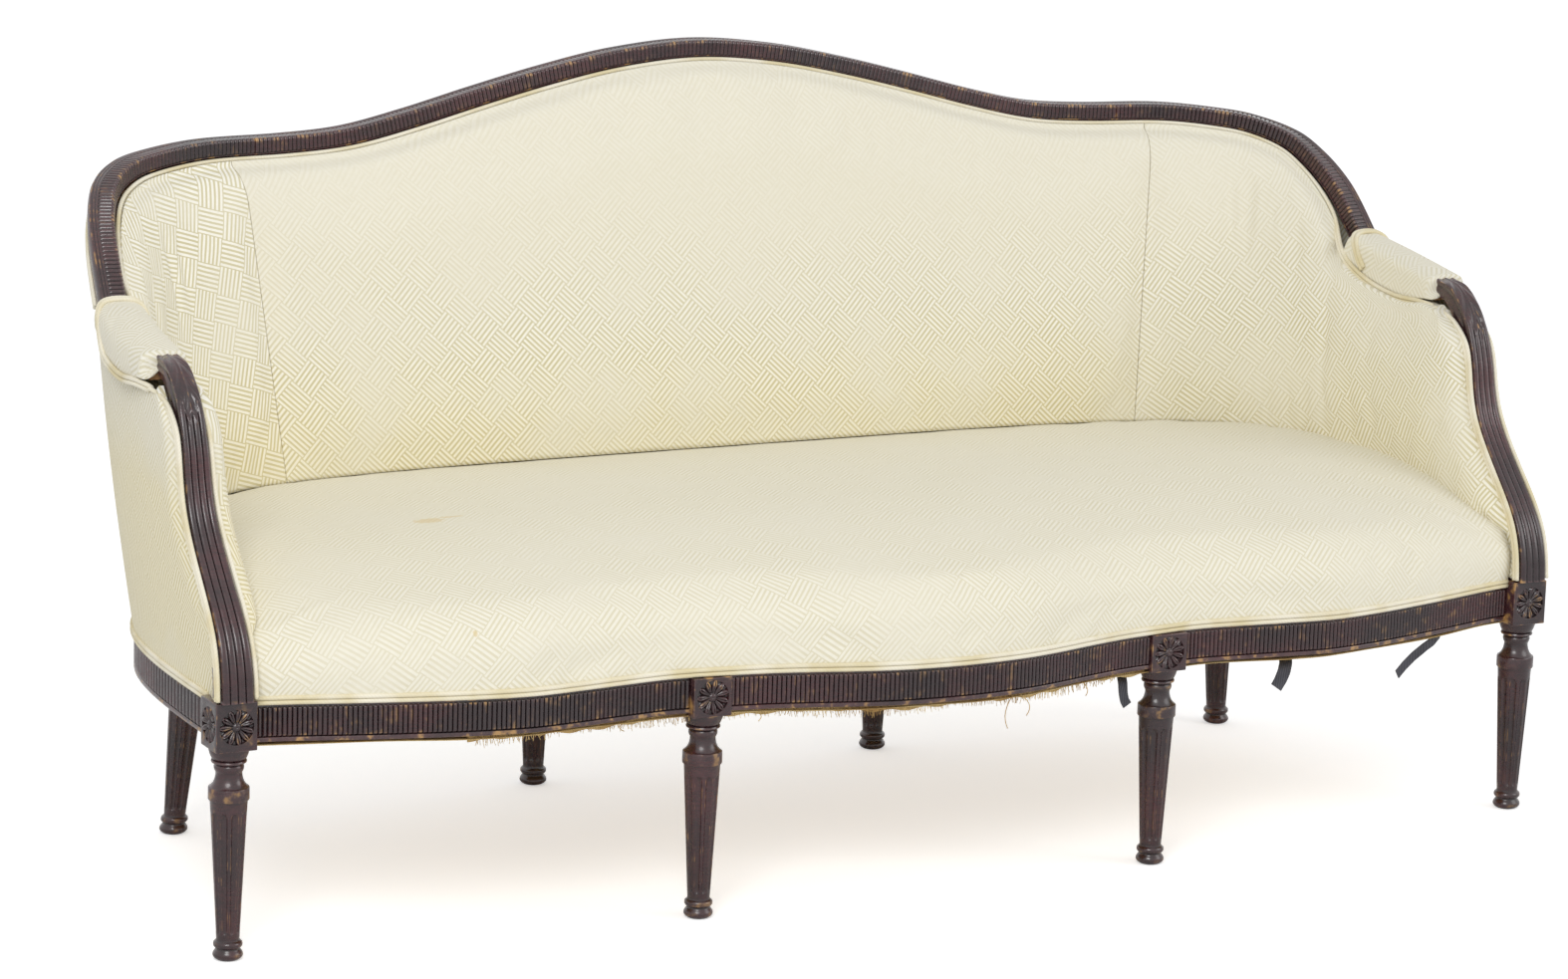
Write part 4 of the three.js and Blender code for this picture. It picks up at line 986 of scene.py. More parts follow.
def leaf(share, aside):
    """Height of the carved leaf and how far it covers the reeds, at a share and a place across."""
    tip = LEAF_END - 0.05 * abs(aside) - 0.02 * math.cos(aside * math.pi * 3)
    cover = smooth(tip - share, -0.004, 0.006)
    run = share / LEAF_END
    midrib = 1.3 * math.exp(-(aside / 0.1) ** 2)
    lobes = 0.9 * math.cos((run * 3.4 - abs(aside) * 1.1) * 2 * math.pi) * smooth(abs(aside), 0.1, 0.4)
    veins = 0.35 * math.cos((run * 10 - abs(aside) * 3.5) * 2 * math.pi) * smooth(abs(aside), 0.15, 0.5)
    lip = 1.2 * smooth(share, tip - 0.035, tip - 0.008)
    return 1.1 + midrib + lobes + veins + lip, cover


def support_ring(share):
    point, forward = support_frame(share)
    width, depth = lerp(WIDTH_TOP, WIDTH_BASE, share), support_depth(share)
    places = []
    for aside in shares(-1, 1, 41):
        carved, cover = leaf(share, aside)
        edge = 1 - abs(aside) ** 8
        rise = lerp(reed(aside) * REED_RISE, carved * edge, cover)
        places.append((aside * width / 2, depth / 2 - REED_RISE + rise))
    side = [(width / 2 * s, depth / 2 * f) for s, f in ((1, 0.7), (1.0, 0.45), (0.93, 0.3), (0.93, 0.1), (1, 0),
                                                      (1, -0.5), (0.97, -0.97), (0.9, -1))]
    back = [(-s, f) for s, f in reversed(side)]
    return [point + forward * f + Vector((s, 0, 0)) for s, f in places + side + back]


for side, sign in SIDES:
    bm = sweep([support_ring(s) for s in shares(0, 1, 181)])
    bmesh.ops.translate(bm, vec=(sign * LEG_SPAN, 0, 0), verts=bm.verts)
    name = f"arm_support_{side}"
    mark_relief(settle(bm, f"{name}_reeded", mahogany, [name], smooth_angle=60), rounds=1)
print("arm supports made")

# %% [markdown]
# ## The crest rail
# The crest follows the camel's hump and dips to the arms. It is cut from three lengths that meet in scarf
# joints at the shoulders. Its front carries ribs like the seat rail's, which turn over on to the top. The
# rest of the top is a plain band with two shallow channels. The section rides on the top line with the
# wall's outward direction, so the rail twists with the back as the real one does.

# %% Crest line
PAD_OUT, PAD_WIDE, PAD_DROP = 6, 60, 50
ARM_FRONT = share_at_back(SUPPORT_BACK + CLEARANCE, PAD_FRONT_TOP)
STEP = 0.002


def crest_height(share):
    place = abs(share)
    if place <= CREST_END:
        return CREST_END_TOP + (CREST_TOP - CREST_END_TOP) * value_at(CREST, place)
    return lerp(CREST_END_TOP, PAD_FRONT_TOP, (place - CREST_END) / (ARM_FRONT - CREST_END))


def crest_frame(share):
    """The top line's point, the outward direction, and the way up across the rail."""
    point, normal = wall(share, crest_height(share))
    along = wall(share + STEP, crest_height(share + STEP))[0] - wall(share - STEP, crest_height(share - STEP))[0]
    return point, normal, along.normalized().cross(normal).normalized()


def ring_on(share, section):
    point, normal, across = crest_frame(share)
    return [point + normal * out + across * up for out, up in section]


def on_crest(share, out, up):
    return ring_on(share, [(out, up)])[0]


FRONT_RUN, TURN_RUN, TOP_RUN, TURN = 16.0, 6.6, 16.0, 4.2


def wrapped(run):
    """A place on the ribbed face and its outward direction, from the face's foot over on to the top."""
    if run <= FRONT_RUN:
        return (-34, -20.2 + run), (-1, 0)
    if run >= FRONT_RUN + TURN_RUN:
        return (-29.8 + run - FRONT_RUN - TURN_RUN, 0), (0, 1)
    angle = (run - FRONT_RUN) / TURN_RUN * math.pi / 2
    way = (-math.cos(angle), math.sin(angle))
    return (-29.8 + TURN * way[0], -4.2 + TURN * way[1]), way


def crest_section(distance):
    """Points round the crest rail, out from the top line and up from it."""
    section = [(-33.4, -22), (-34, -21.4), (-34, -20.6)]
    whole = FRONT_RUN + TURN_RUN + TOP_RUN
    for run in shares(0, whole, 26):
        (out, up), way = wrapped(run)
        sink = 1.7 * (1 - rib(distance, -0.5, whole + 0.5, run))
        section.append((out - way[0] * sink, up - way[1] * sink))
    for out in (-13, -12, -10.8, -10, -9.2, -8, -6.8, -6, -5.2, -4, -3):
        channel = sum(math.exp(-((out - groove) / 0.8) ** 2) for groove in (-10, -6))
        section.append((out, 0.5 * math.sin(math.pi * (out + 13.4) / 12) - 1.0 * channel))
    section += [(-2, -1.7), (-0.7, -3.4), (0, -6), (0, -17), (0, -27.5), (-0.5, -28), (-27.9, -28)]
    return section


def ribbed_crest(name, start, end):
    marks = np.linspace(start, end, 500)
    line = np.array([tuple(on_crest(s, -34, -12)) for s in marks])
    run = run_along(line)
    ribs = round(run[-1] / RIB_PITCH)
    rings = []
    count = ribs * CREST_STATIONS
    for i in range(count + 1):
        share = float(np.interp(i / count * run[-1], run, marks))
        section = crest_section(i / CREST_STATIONS * RIB_PITCH)
        rings.append(ring_on(share, section))
    mark_relief(settle(sweep(rings), f"{name}_ribbed", mahogany, [name], smooth_angle=60), rounds=1)
    print(name, "ribs:", ribs)


scarf = CREST_SCARF + CLEARANCE / total_at(CREST_TOP)
ribbed_crest("crest_rail_centre", -CREST_SCARF, CREST_SCARF)
ribbed_crest("crest_rail_left", -CREST_END, -scarf)
ribbed_crest("crest_rail_right", scarf, CREST_END)

# %% [markdown]
# ## How tight upholstery is shaped
# Webbing, hair and a cotton layer fill the back, and the cover is pulled over them and tacked to the
# wood's edge. So a panel is thin at its edges, rises in a quarter round within 50 mm, and is nearly flat
# in between. Each panel is drawn as columns up the wall. The pull of the cloth and the give of the hair
# are then left to Blender's cloth solver: the tacked edges are pinned, air pressure pushes the face out,
# and no point may move further than a few millimetres, because the stuffing isn't loose.

# %% Edges of the padding
CREST_FACE, CREST_HEEL = 22, 28
SEAM, OUTSIDE_SEAM = 0.47, 0.55
STUFFING, STUFFING_EDGE, STUFFING_REAR, TUCK = 70, 39, 36, 48
EDGE_GAP, REST_GAP, PAD_TOP, ARM_RAIL = 3, 1, 18, 16
PAD_BLEND, WELT_BAND = 0.009, 10
DECK_SETTLE, KNUCKLE_RISE = 3, 7
DECK_CROWN, DECK_FRONT, DECK_DROP, DECK_RUN = 459, 402, 16, 330
PAD_DROPS = [(0, 0.76), (0.3, 1), (0.7, 0.98), (1, 0.66)]


def drop_place(share, drop):
    length = total_at(crest_height(share))
    fall = (crest_height(share + STEP) - crest_height(share - STEP)) / (2 * STEP * length)
    slope = math.hypot(1, fall)
    return share + fall * drop / (slope * length), crest_height(share) - drop / slope


def pad_blend(share):
    return smooth(share, CREST_END - PAD_BLEND, CREST_END - PAD_BLEND / 8)


def pad_drop(share):
    return PAD_DROP * value_at(PAD_DROPS, (abs(share) - CREST_END) / (ARM_FRONT - CREST_END))


def top_place(share, drop):
    under_pad = max(pad_drop(share), PAD_TOP + CLEARANCE + ARM_RAIL)
    return drop_place(share, lerp(drop, under_pad, pad_blend(share)) + EDGE_GAP)


def tuck(distance):
    run = clamp(distance / TUCK)
    return math.sqrt(run * (2 - run))


def deck_height(x, y):
    back = clamp((y - front_face(x)) / DECK_RUN)
    aside = abs(x) / LEG_SPAN
    return DECK_CROWN - (DECK_CROWN - DECK_FRONT) * (1 - back) ** 2 - DECK_DROP * aside**4


def seat_contact(share):
    point, _ = wall(share, DECK_CROWN, STUFFING)
    return deck_height(point.x, point.y) + REST_GAP


arm_slides = {}


def arm_slide(drop):
    """How far a cover's top edge slides forward to reach the support, and where it then ends."""
    if drop not in arm_slides:
        edge = top_place(ARM_FRONT, drop)
        slide = front_share(edge[1]) - edge[0]
        arm_slides[drop] = (slide, top_place(ARM_FRONT + slide, drop)[0])
    return arm_slides[drop]


def column_place(share, rise, low, drop):
    """A place on a column up the wall: its share, height, and distance below the top edge."""
    run = max((share - SEAM) / (ARM_FRONT - SEAM), 0)
    slide, lean = arm_slide(drop)
    top = top_place(share + slide * run**3, drop)
    z = lerp(low, top[1], rise)
    straight = lerp(share, top[0], rise)
    front = front_share(z)
    held = straight + (front - lerp(ARM_FRONT, lean, rise)) * run**3
    return held, z, top[1] - z


print("arm starts at share", round(CREST_END, 3), "and ends at", round(ARM_FRONT, 3))

# %% [markdown]
# The solver's step is the same for every padded piece: pin, press, read the shape back, and keep each
# point within a cap of its drawn place. The result is written into the mesh, so no simulation is left.


# %% Cloth step
def press_out(piece, held, pressure, cap, frames=20, slack=0.0):
    """Runs the cloth solver on a piece whose held points are pinned, and keeps the result."""
    mesh = piece.data
    drawn = points_of(mesh)
    group = piece.vertex_groups.new(name="held")
    group.add([int(i) for i in np.flatnonzero(held)], 1.0, "REPLACE")
    cloth = piece.modifiers.new("cloth", "CLOTH")
    fabric = cloth.settings
    fabric.quality = 5
    fabric.mass = 0.35
    fabric.tension_stiffness = fabric.compression_stiffness = 25
    fabric.bending_stiffness = 0.6
    fabric.use_pressure = True
    fabric.uniform_pressure_force = pressure
    fabric.shrink_min = -slack
    fabric.effector_weights.gravity = 0
    fabric.vertex_group_mass = "held"
    cloth.collision_settings.use_collision = False
    for step in range(1, frames + 1):
        scene.frame_set(step)
    solved = piece.evaluated_get(bpy.context.evaluated_depsgraph_get()).data
    move = points_of(solved) - drawn
    size = np.linalg.norm(move, axis=1)
    move *= np.minimum(1, cap / np.maximum(size, 1e-9))[:, None]
    piece.modifiers.remove(cloth)
    piece.vertex_groups.remove(group)
    mesh.vertices.foreach_set("co", (drawn + move).ravel())
    mesh.update()
    scene.frame_set(1)
    return float(min(size.max(), cap))


def refine(piece, crisp=None):
    """One level of subdivision; edges between crisp points keep their fold."""
    if crisp is not None:
        folded = crisp[ends_of(piece.data)].all(axis=1)
        crease = piece.data.attributes.new("crease_edge", "FLOAT", "EDGE")
        crease.data.foreach_set("value", folded.astype(np.float32))
    finer = piece.modifiers.new("finer", "SUBSURF")
    finer.levels = finer.render_levels = 1


# %% [markdown]
# ## The inside back and wings
# Three panels meet at two upright seams, one at each shoulder. A ring up the face and down the rear makes
# one station, and the end stations fold shut, so each panel is a closed pad.

# %% Inside back panels
FACE_RISES = [(i / 34) for i in range(30)] + [0.88, 0.905, 0.93, 0.95, 0.965, 0.978, 0.989, 1]


def inside_ring(share, fold=0.0):
    """A station round a panel, drawn down to the dressed deck, which has settled below the solid's."""
    sign, place = (-1 if share < 0 else 1), abs(share)
    low = seat_contact(share)
    for _ in range(4):
        held = column_place(place, 0, low, CREST_FACE)[0]
        point, _ = wall(sign * held, low, STUFFING)
        low = deck_height(point.x, point.y) + REST_GAP - DECK_SETTLE
    edge_depth = lerp(STUFFING_EDGE, PAD_WIDE - PAD_OUT + REST_GAP, pad_blend(place))
    face, rear = [], []
    for rise in FACE_RISES:
        held, z, to_top = column_place(place, rise, low, CREST_FACE)
        depth = lerp(edge_depth, STUFFING, tuck(to_top - WELT_BAND * (1 - pad_blend(place)))) - 0.8 * fold
        at_rear = column_place(place, rise, low, CREST_HEEL)
        face.append((sign * held, z, depth))
        rear.append((sign * at_rear[0], at_rear[1], STUFFING_REAR))
    if fold >= 1:
        rear = face
    face = [wall(s, z, d)[0] for s, z, d in face]
    rear = [wall(s, z, d)[0] for s, z, d in rear]
    return face + rear[::-1]


def folds(start, end, count, seams):
    """Stations of a panel and how far each is drawn in towards a sewn end."""
    marks = [(s, 0.0) for s in shares(start, end, count)]
    length, way = total_at(RAIL_TOP), (1 if end > start else -1)
    for place, turn in ((start, way), (end, -way)):
        if place in seams:
            rounded = [(place + turn * d / length, fold) for d, fold in
                       ((0.3, 1.0), (0.3, 0.8), (1.5, 0.42), (3.5, 0.18), (6.5, 0.05))]
        else:
            rounded = [(place, 1.0)]
        marks = [m for m in marks if abs(m[0] - place) * length > (9 if place in seams else 0.01)]
        marks += rounded + ([] if place in seams else [(place, 0.0)])
    return sorted(marks, key=lambda m: (way * m[0], -m[1] if abs(m[0] - start) < abs(m[0] - end) else m[1]))


def under_knuckle(z, ahead):
    """How far the cloth's top rises, in front of the pad, to meet the knuckle."""
    return KNUCKLE_RISE * smooth(z, (KNUCKLE_LOW + KNUCKLE_UNDER) / 2, KNUCKLE_UNDER) * smooth(ahead, 0, 0.4)


def apron_ring(ring, ahead, shut=False):
    """The wing's cloth drawn forward over the arm support's inner flank, 0 behind it to 1 at its edge."""
    half = len(ring) // 2
    low, top, sign = ring[0].z, ring[half - 1].z, math.copysign(1, ring[0].x)
    face, rear = [], []
    for p in ring[:half]:
        z = lerp(lerp(low, CORNER_TOP + 4, smooth(ahead, 0, 0.7)), top, (p.z - low) / (top - low))
        z += under_knuckle(z, ahead)
        edge, half_wide = support_edge(z, CLOTH_BACK)
        flank = LEG_SPAN - half_wide - 1.2
        thick = 3 + max(flank - abs(p.x) - 3, 0) * math.sqrt(max(1 - ahead**2, 0)) * smooth(z, low - 25, low + 8)
        y = lerp(behind_support(z, z), edge, ahead)
        face.append(Vector((sign * (flank - thick), y, z)))
        rear.append(Vector((sign * flank, y, z)))
    return face + (face if shut else rear)[::-1]


def inside_panel(name, start, end, count, seams, material):
    rings = [inside_ring(s, fold) for s, fold in folds(start, end, count, seams)]
    if abs(end) == ARM_FRONT:
        rings = rings[:-1]
        last = rings[-1]
        rings += [apron_ring(last, ahead) for ahead in (0.12, 0.26, 0.4, 0.54, 0.68, 0.8, 0.9, 0.96, 1)]
        rings.append(apron_ring(last, 1, shut=True))
    bm = sweep(rings, capped=False, flat=cloth_of(rings))
    return settle_cloth(bm, f"{name}_cover", material, [name])


def cloth_of(rings):
    """Where each point of a panel lay on the flat cloth: metres along the wall, metres of height."""
    stations = table_of(rings)
    half = stations.shape[1] // 2
    face = stations[:, :half]
    run = np.zeros(face.shape[:2])
    run[1:] = np.cumsum(np.linalg.norm(np.diff(face[:, :, :2], axis=0), axis=2), axis=0)
    flat = []
    for runs, heights in zip(run * MM, face[:, :, 2] * MM):
        row = list(zip(runs, heights))
        row += row[::-1]
        flat.append(row + row[:1])
    return flat


def pinned(piece, rule):
    """Which points of a finished mesh are held, by a rule on their place in drawing millimetres."""
    place = points_of(piece.data) / MM
    place[:, 1] -= FRAME_BACK
    return np.array([bool(rule(Vector(p))) for p in place])


def depth_in(point):
    """How deep a point lies behind the outside of the frame, found along its own radius."""
    x, y, _ = walk_at(round(point.z / 4) * 4)
    return float(np.hypot(x - abs(point.x), y - point.y).min())


def sewn(p):
    """Whether a point is at a seam, at the foot on the seat, or beside an arm support."""
    point, normal = wall(math.copysign(SEAM, p.x), round(p.z))
    beside_seam = abs((p - point).dot(Vector((-normal.y, normal.x, 0)))) < 9
    return beside_seam or p.z < deck_height(p.x, p.y) + 7 or p.y < support_back(p.z) + 2


gap = 0.4 * REST_GAP / total_at(RAIL_TOP)
back_panels = [
    inside_panel("inside_back_centre", -SEAM + gap, SEAM - gap, 131, (-SEAM + gap, SEAM - gap), back_damask),
    inside_panel("inside_back_left", -SEAM, -ARM_FRONT, 84, (-SEAM,), left_damask),
    inside_panel("inside_back_right", SEAM, ARM_FRONT, 84, (SEAM,), right_damask),
]
for panel in back_panels:
    held = pinned(panel, lambda p: depth_in(p) < STUFFING - 9 or sewn(p))
    foot_edge = pinned(panel, lambda p: p.z < deck_height(p.x, p.y) + 3)
    moved = press_out(panel, held, 3.0, 0.008, slack=0.003)
    refine(panel, foot_edge)
    print(panel.name, "held", int(held.sum()), "of", len(held), "moved", round(moved * 1000, 1), "mm")

# %% [markdown]
# ## The seat
# The seat is stitched over the front rail in a firm roll and crowned towards the back. Its rings rise from
# the rail, bulge a little, turn over the roll in a quarter round, and close over the deck. The foot ring
# and the sides under the arms are tacked, so they are held while the deck is pressed out.

# %% Seat
SEAT_INSET, ROLL, SIDE_ROLL, BULGE = 41.5, 34, 1.5, 4
SEAT_MIDDLE = (REAR_FACE - SEAT_INSET) / 2
ROLL_END, ROLL_FADE = 120, 90


def seat_loop():
    """The seat's outline, and how much of the front roll each place has: 1 is on the serpentine only."""
    edge = LEG_SPAN - BLOCK / 2 - CLEARANCE
    loop = [(x, front_face(x), 1.0) for x in shares(-edge, edge, 201)]
    for share in shares(1, -1, 151):
        point, _ = wall(share, RAIL_TOP, SEAT_INSET)
        loop.append((point.x, point.y, 0.99 * smooth(ROLL_END - point.y, 0, ROLL_FADE)))
    return loop


def seat_point(x, y, front, turn):
    """A point of the roll, turned from its foot at 0 to the deck's edge at 1."""
    inset, drop = 1 - math.cos(turn * math.pi / 2), 1 - math.sin(turn * math.pi / 2)
    away, rest = math.hypot(x, y - SEAT_MIDDLE), 1 - front
    end = math.copysign(min(abs(x) / (LEG_SPAN - BLOCK / 2), 1) ** 8, x)
    px = x - inset * SIDE_ROLL * (x / away * rest + end * front)
    py = y + inset * (ROLL * front - SIDE_ROLL * rest * (y - SEAT_MIDDLE) / away) - BULGE * front * (1 - turn)
    return Vector((px, py, deck_height(px, py) - drop * lerp(SIDE_ROLL, ROLL, front)))


loop = seat_loop()
foot = RAIL_TOP + CLEARANCE
rings = [[Vector((x, y, foot)) for x, y, _ in loop]]
first = [seat_point(x, y, front, 0) for x, y, front in loop]
for rise in (0.06, 0.16, 0.3, 0.46, 0.64, 0.82):
    rings.append([Vector((x, y - BULGE * front * math.sin(rise * math.pi / 2), lerp(foot, top.z, rise)))
                  for (x, y, front), top in zip(loop, first)])
rings += [[seat_point(x, y, front, t / 9) for x, y, front in loop] for t in range(10)]
DECK_ROW = len(rings) - 1
for keep in shares(1, 0, 31)[1:]:
    ring = []
    for edge in rings[DECK_ROW]:
        px, py = edge.x * keep, SEAT_MIDDLE + (edge.y - SEAT_MIDDLE) * keep
        ring.append(Vector((px, py, deck_height(px, py))))
    rings.append(ring)
steps = [[(a - b).length for a, b in zip(ring, before)] for before, ring in zip(rings, rings[1:DECK_ROW + 1])]
down = np.cumsum([np.zeros(len(loop))] + steps, axis=0)
flat = []
for row, ring in enumerate(rings):
    drop = np.where([f > 0 for _, _, f in loop], down[-1] - down[min(row, DECK_ROW)], 0)
    line = [(e.x * MM, (e.y - d) * MM) for e, d in zip(rings[max(row, DECK_ROW)], drop)]
    flat.append(line + line[:1])
bm = sweep(rings, flat=flat)
seat = settle_cloth(bm, "seat_cover_dressed", seat_damask, ["seat_cover"])
held = pinned(seat, lambda p: p.z < foot + 6 or depth_in(p) < SEAT_INSET + 14)
moved = press_out(seat, held, 3.5, 0.008, slack=0.004)
print("seat: held", int(held.sum()), "of", len(held), "moved", round(moved * 1000, 1), "mm")

# %% [markdown]
# ## The arm pads
# Each arm is topped with a narrow pad that wraps the arm rail and dies into the crest at the back. Its
# section is a low arch 60 mm wide that is carried along the arm, and its ends are closed.

# %% Arm pads
def pad_section(drop):
    outer, inner = PAD_OUT, PAD_OUT - PAD_WIDE
    arch = []
    for i in range(19):
        turn = math.pi * i / 18
        out = lerp(inner, outer, 0.5 - 0.5 * math.copysign(abs(math.cos(turn)) ** 0.62, math.cos(turn)))
        arch.append((out, -PAD_TOP * (1 - math.sin(turn) ** 0.62)))
    wall_side = [(inner, lerp(-drop, -PAD_TOP, t)) for t in (0, 0.12, 0.3, 0.5, 0.75)]
    other_side = [(outer, lerp(-PAD_TOP, -drop, t)) for t in (0.25, 0.5, 0.7, 0.88, 1)]
    under = [(outer - 11, -drop), (outer - 11, -PAD_TOP), (inner + 11, -PAD_TOP), (inner + 11, -drop)]
    return wall_side + arch + other_side + under


def pad_ring(sign, share, shut=1.0):
    ring = ring_on(sign * share, pad_section(pad_drop(share)))
    if share >= ARM_FRONT:
        for p in ring:
            p.y = min(SUPPORT_BACK, support_back(p.z) + 1) + CLEARANCE
    middle = on_crest(sign * share, PAD_OUT - PAD_WIDE / 2, -PAD_TOP)
    return [middle + (p - middle) * shut for p in ring]


for side, sign in SIDES:
    start = CREST_END + CLEARANCE / total_at(CREST_END_TOP)
    rings = [pad_ring(sign, start, 0.93)] + [pad_ring(sign, s) for s in shares(start + 0.0008, ARM_FRONT, 40)]
    bm = sweep(rings)
    pad = settle_cloth(bm, f"arm_pad_{side}_cover", pad_damask, [f"arm_pad_{side}"])
    held = pinned(pad, lambda p: p.y < SUPPORT_BACK + 1 or depth_in(p) > 50)
    press_out(pad, held, 2.0, 0.003)
    refine(pad)
print("arm pads made")

# %% [markdown]
# ## The outside covers
# Behind and outside, a single cloth is stretched from the crest and pad down to the rails, over nothing
# but the open frame, so it is a thin taut sheet with a slight belly. It is one layer of faces, and the
# Solidify modifier gives the cloth and its lining their thickness.

# %% Outside covers
OUT_RISES = shares(0, 1, 29)


def outside_row(share):
    sign, low = (-1 if share < 0 else 1), RAIL_TOP + CLEARANCE
    row = []
    for rise in OUT_RISES:
        held, z, _ = column_place(abs(share), rise, low, CREST_HEEL)
        row.append(wall(sign * held, z, -5 * math.sin(rise * math.pi))[0])
    return row


def sheet_of(rows, upright=True):
    """A sheet on a wall or on the level, its area, and the flat cloth's width and height in metres."""
    stations = table_of(rows)
    run = np.zeros(stations.shape[:2])
    run[1:] = np.cumsum(np.linalg.norm(np.diff(stations[:, :, :2], axis=0), axis=2), axis=0)
    run_level, back, up = (stations[:, :, k] - stations[:, :, k].min() for k in range(3))
    run, rises = (run, up) if upright else (run_level, back)
    flat = [list(zip(a * MM, b * MM)) for a, b in zip(run, rises)]
    bm = sweep(rows, closed=False, capped=False, flat=flat)
    return bm, sum(f.calc_area() for f in bm.faces) * MM * MM, float(run.max() * MM), float(rises.max() * MM)


def flank_row(row, ahead):
    """The outside cover drawn forward over the arm support's outer flank."""
    drawn = []
    for p in row:
        z = p.z + under_knuckle(p.z, ahead)
        edge, half_wide = support_edge(z, CLOTH_BACK)
        front = BLOCK / 2 + 1 if z < RAIL_TOP + 6 else edge
        flank = math.copysign(LEG_SPAN + half_wide + 1.6, p.x)
        drawn.append(Vector((lerp(p.x, flank, smooth(ahead, 0, 1)), lerp(p.y, min(front, p.y), ahead), z)))
    return drawn


def outside_cover(name, start, end, count):
    rows = [outside_row(s) for s in shares(start, end, count)]
    if abs(end) == ARM_FRONT:
        rows += [flank_row(rows[count - 1], ahead) for ahead in (0.2, 0.4, 0.6, 0.8, 1)]
    bm, area, wide, tall = sheet_of(rows)
    piece = settle_cloth(bm, f"{name}_cover", outside_damask, [name])
    outward = piece.data.polygons[len(piece.data.polygons) // 2]
    thicken(piece, "lining", 0.0024, -1 if outward.normal.dot(outward.center) > 0 else 1)
    print(name, round(wide, 3), "by", round(tall, 3), "m, area", round(area, 3))


gap = REST_GAP / total_at(RAIL_TOP)
outside_cover("outside_back", -OUTSIDE_SEAM + gap, OUTSIDE_SEAM - gap, 91)
outside_cover("outside_arm_left", -OUTSIDE_SEAM, -ARM_FRONT, 61)
outside_cover("outside_arm_right", OUTSIDE_SEAM, ARM_FRONT, 61)

# %% [markdown]
# ## The double welt
# Every edge where cloth meets wood is covered by two cords sewn side by side. Each cord is a circle of
# eight points swept along the edge, and the pair is set on either side of the line.


# %% Welt helper
WELT_RADIUS = 2.9


def eased(points, rounds=6):
    """A line of points with its corners rounded, its ends kept."""
    line = np.array([tuple(p) for p in points])
    for _ in range(rounds):
        line[1:-1] = line[1:-1] * 0.5 + (line[:-2] + line[2:]) * 0.25
    return [Vector(p) for p in line]


def evenly(points, besides, spacing):
    line = np.array([tuple(p) for p in points])
    ways = np.array([tuple(b) for b in besides])
    run = run_along(line)
    marks = np.linspace(0, run[-1], max(int(run[-1] / spacing), 4) + 1)
    place = [Vector(p) for p in np.stack([np.interp(marks, run, line[:, k]) for k in range(3)], axis=1)]
    way = [Vector(p) for p in np.stack([np.interp(marks, run, ways[:, k]) for k in range(3)], axis=1)]
    return place, way, run[-1]


def along_and_beside(points, i, beside):
    """The way along a line at a point, and the given way squared up to it."""
    along = (points[min(i + 1, len(points) - 1)] - points[max(i - 1, 0)]).normalized()
    return along, (beside - along * beside.dot(along)).normalized()


def cord_rings(points, besides, offset, radius, sides=8):
    rings = []
    for i, p in enumerate(points):
        along, beside = along_and_beside(points, i, besides[i])
        out = along.cross(beside)
        turns = [2 * math.pi * k / sides for k in range(sides)]
        rings.append([p + beside * (offset + radius * math.cos(a)) + out * radius * math.sin(a) for a in turns])
    return rings


def double_welt(name, points, besides, spacing=4.0):
    points, besides, length = evenly(eased(points), besides, spacing)
    bm = sweep(cord_rings(points, besides, WELT_RADIUS, WELT_RADIUS))
    join(bm, sweep(cord_rings(points, besides, -WELT_RADIUS, WELT_RADIUS)))
    settle_cloth(bm, name, welt_cloth)
    print(name, round(length), "mm")


# %% [markdown]
# One line of welt runs up the inside of an arm support, along the foot of the pad, under the whole crest
# and down again. The others follow the pads' outer edges, the seat's front, the outside covers' feet, and
# the back of the crest.

# %% Welt lines
UP = Vector((0, 0, 1))
CREST_WELT, PAD_WELT = (-37.2, -28.4), 2.4


def down_support(sign, side):
    """The line down a support's inner flank (side -1) or outer flank (side 1)."""
    points = []
    for z in shares(KNUCKLE_UNDER, CORNER_TOP + 3, 64):
        edge, half_wide = support_edge(z, WELT_BACK)
        points.append(Vector((sign * (LEG_SPAN + side * (half_wide + 4.4)), edge, z)))
    return points, [Vector((0, 1, 0))] * len(points)


def inside_edge(sign):
    points, besides = [], []
    for share in shares(0, CREST_END - PAD_BLEND, 150):
        points.append(on_crest(sign * share, *CREST_WELT))
        besides.append(crest_frame(sign * share)[2])
    for share in shares(CREST_END - 0.004, ARM_FRONT - 0.01, 24):
        points.append(on_crest(sign * share, PAD_OUT - PAD_WIDE - PAD_WELT, -pad_drop(share) - 3))
        besides.append(crest_frame(sign * share)[2])
    down, level = down_support(sign, -1)
    return points + down, besides + level


right_points, right_besides = inside_edge(1)
left_points, left_besides = inside_edge(-1)
double_welt("welt_inside", left_points[::-1] + right_points[1:], left_besides[::-1] + right_besides[1:])


def pad_edge(sign):
    points, besides = [], []
    start = CREST_END + 0.001
    section = pad_section(pad_drop(start))[:29]
    for i, (out, up) in enumerate(section):
        turn = i / (len(section) - 1)
        share = start + 0.03 * (1 - math.sin(math.pi * turn))
        points.append(on_crest(sign * share, out + (2.2 if out > -24 else -2.2) * abs(2 * turn - 1),
                               up + 2.2 * math.sin(math.pi * turn)))
        besides.append(on_crest(sign * (share + 0.01), out, up) - on_crest(sign * share, out, up))
    for share in shares(start + 0.034, ARM_FRONT - 0.008, 24):
        points.append(on_crest(sign * share, PAD_OUT + PAD_WELT, -pad_drop(share) - 3))
        besides.append(crest_frame(sign * share)[2])
    down, level = down_support(sign, 1)
    return points + down, besides + level


for side, sign in SIDES:
    double_welt(f"welt_arm_{side}", *pad_edge(sign))

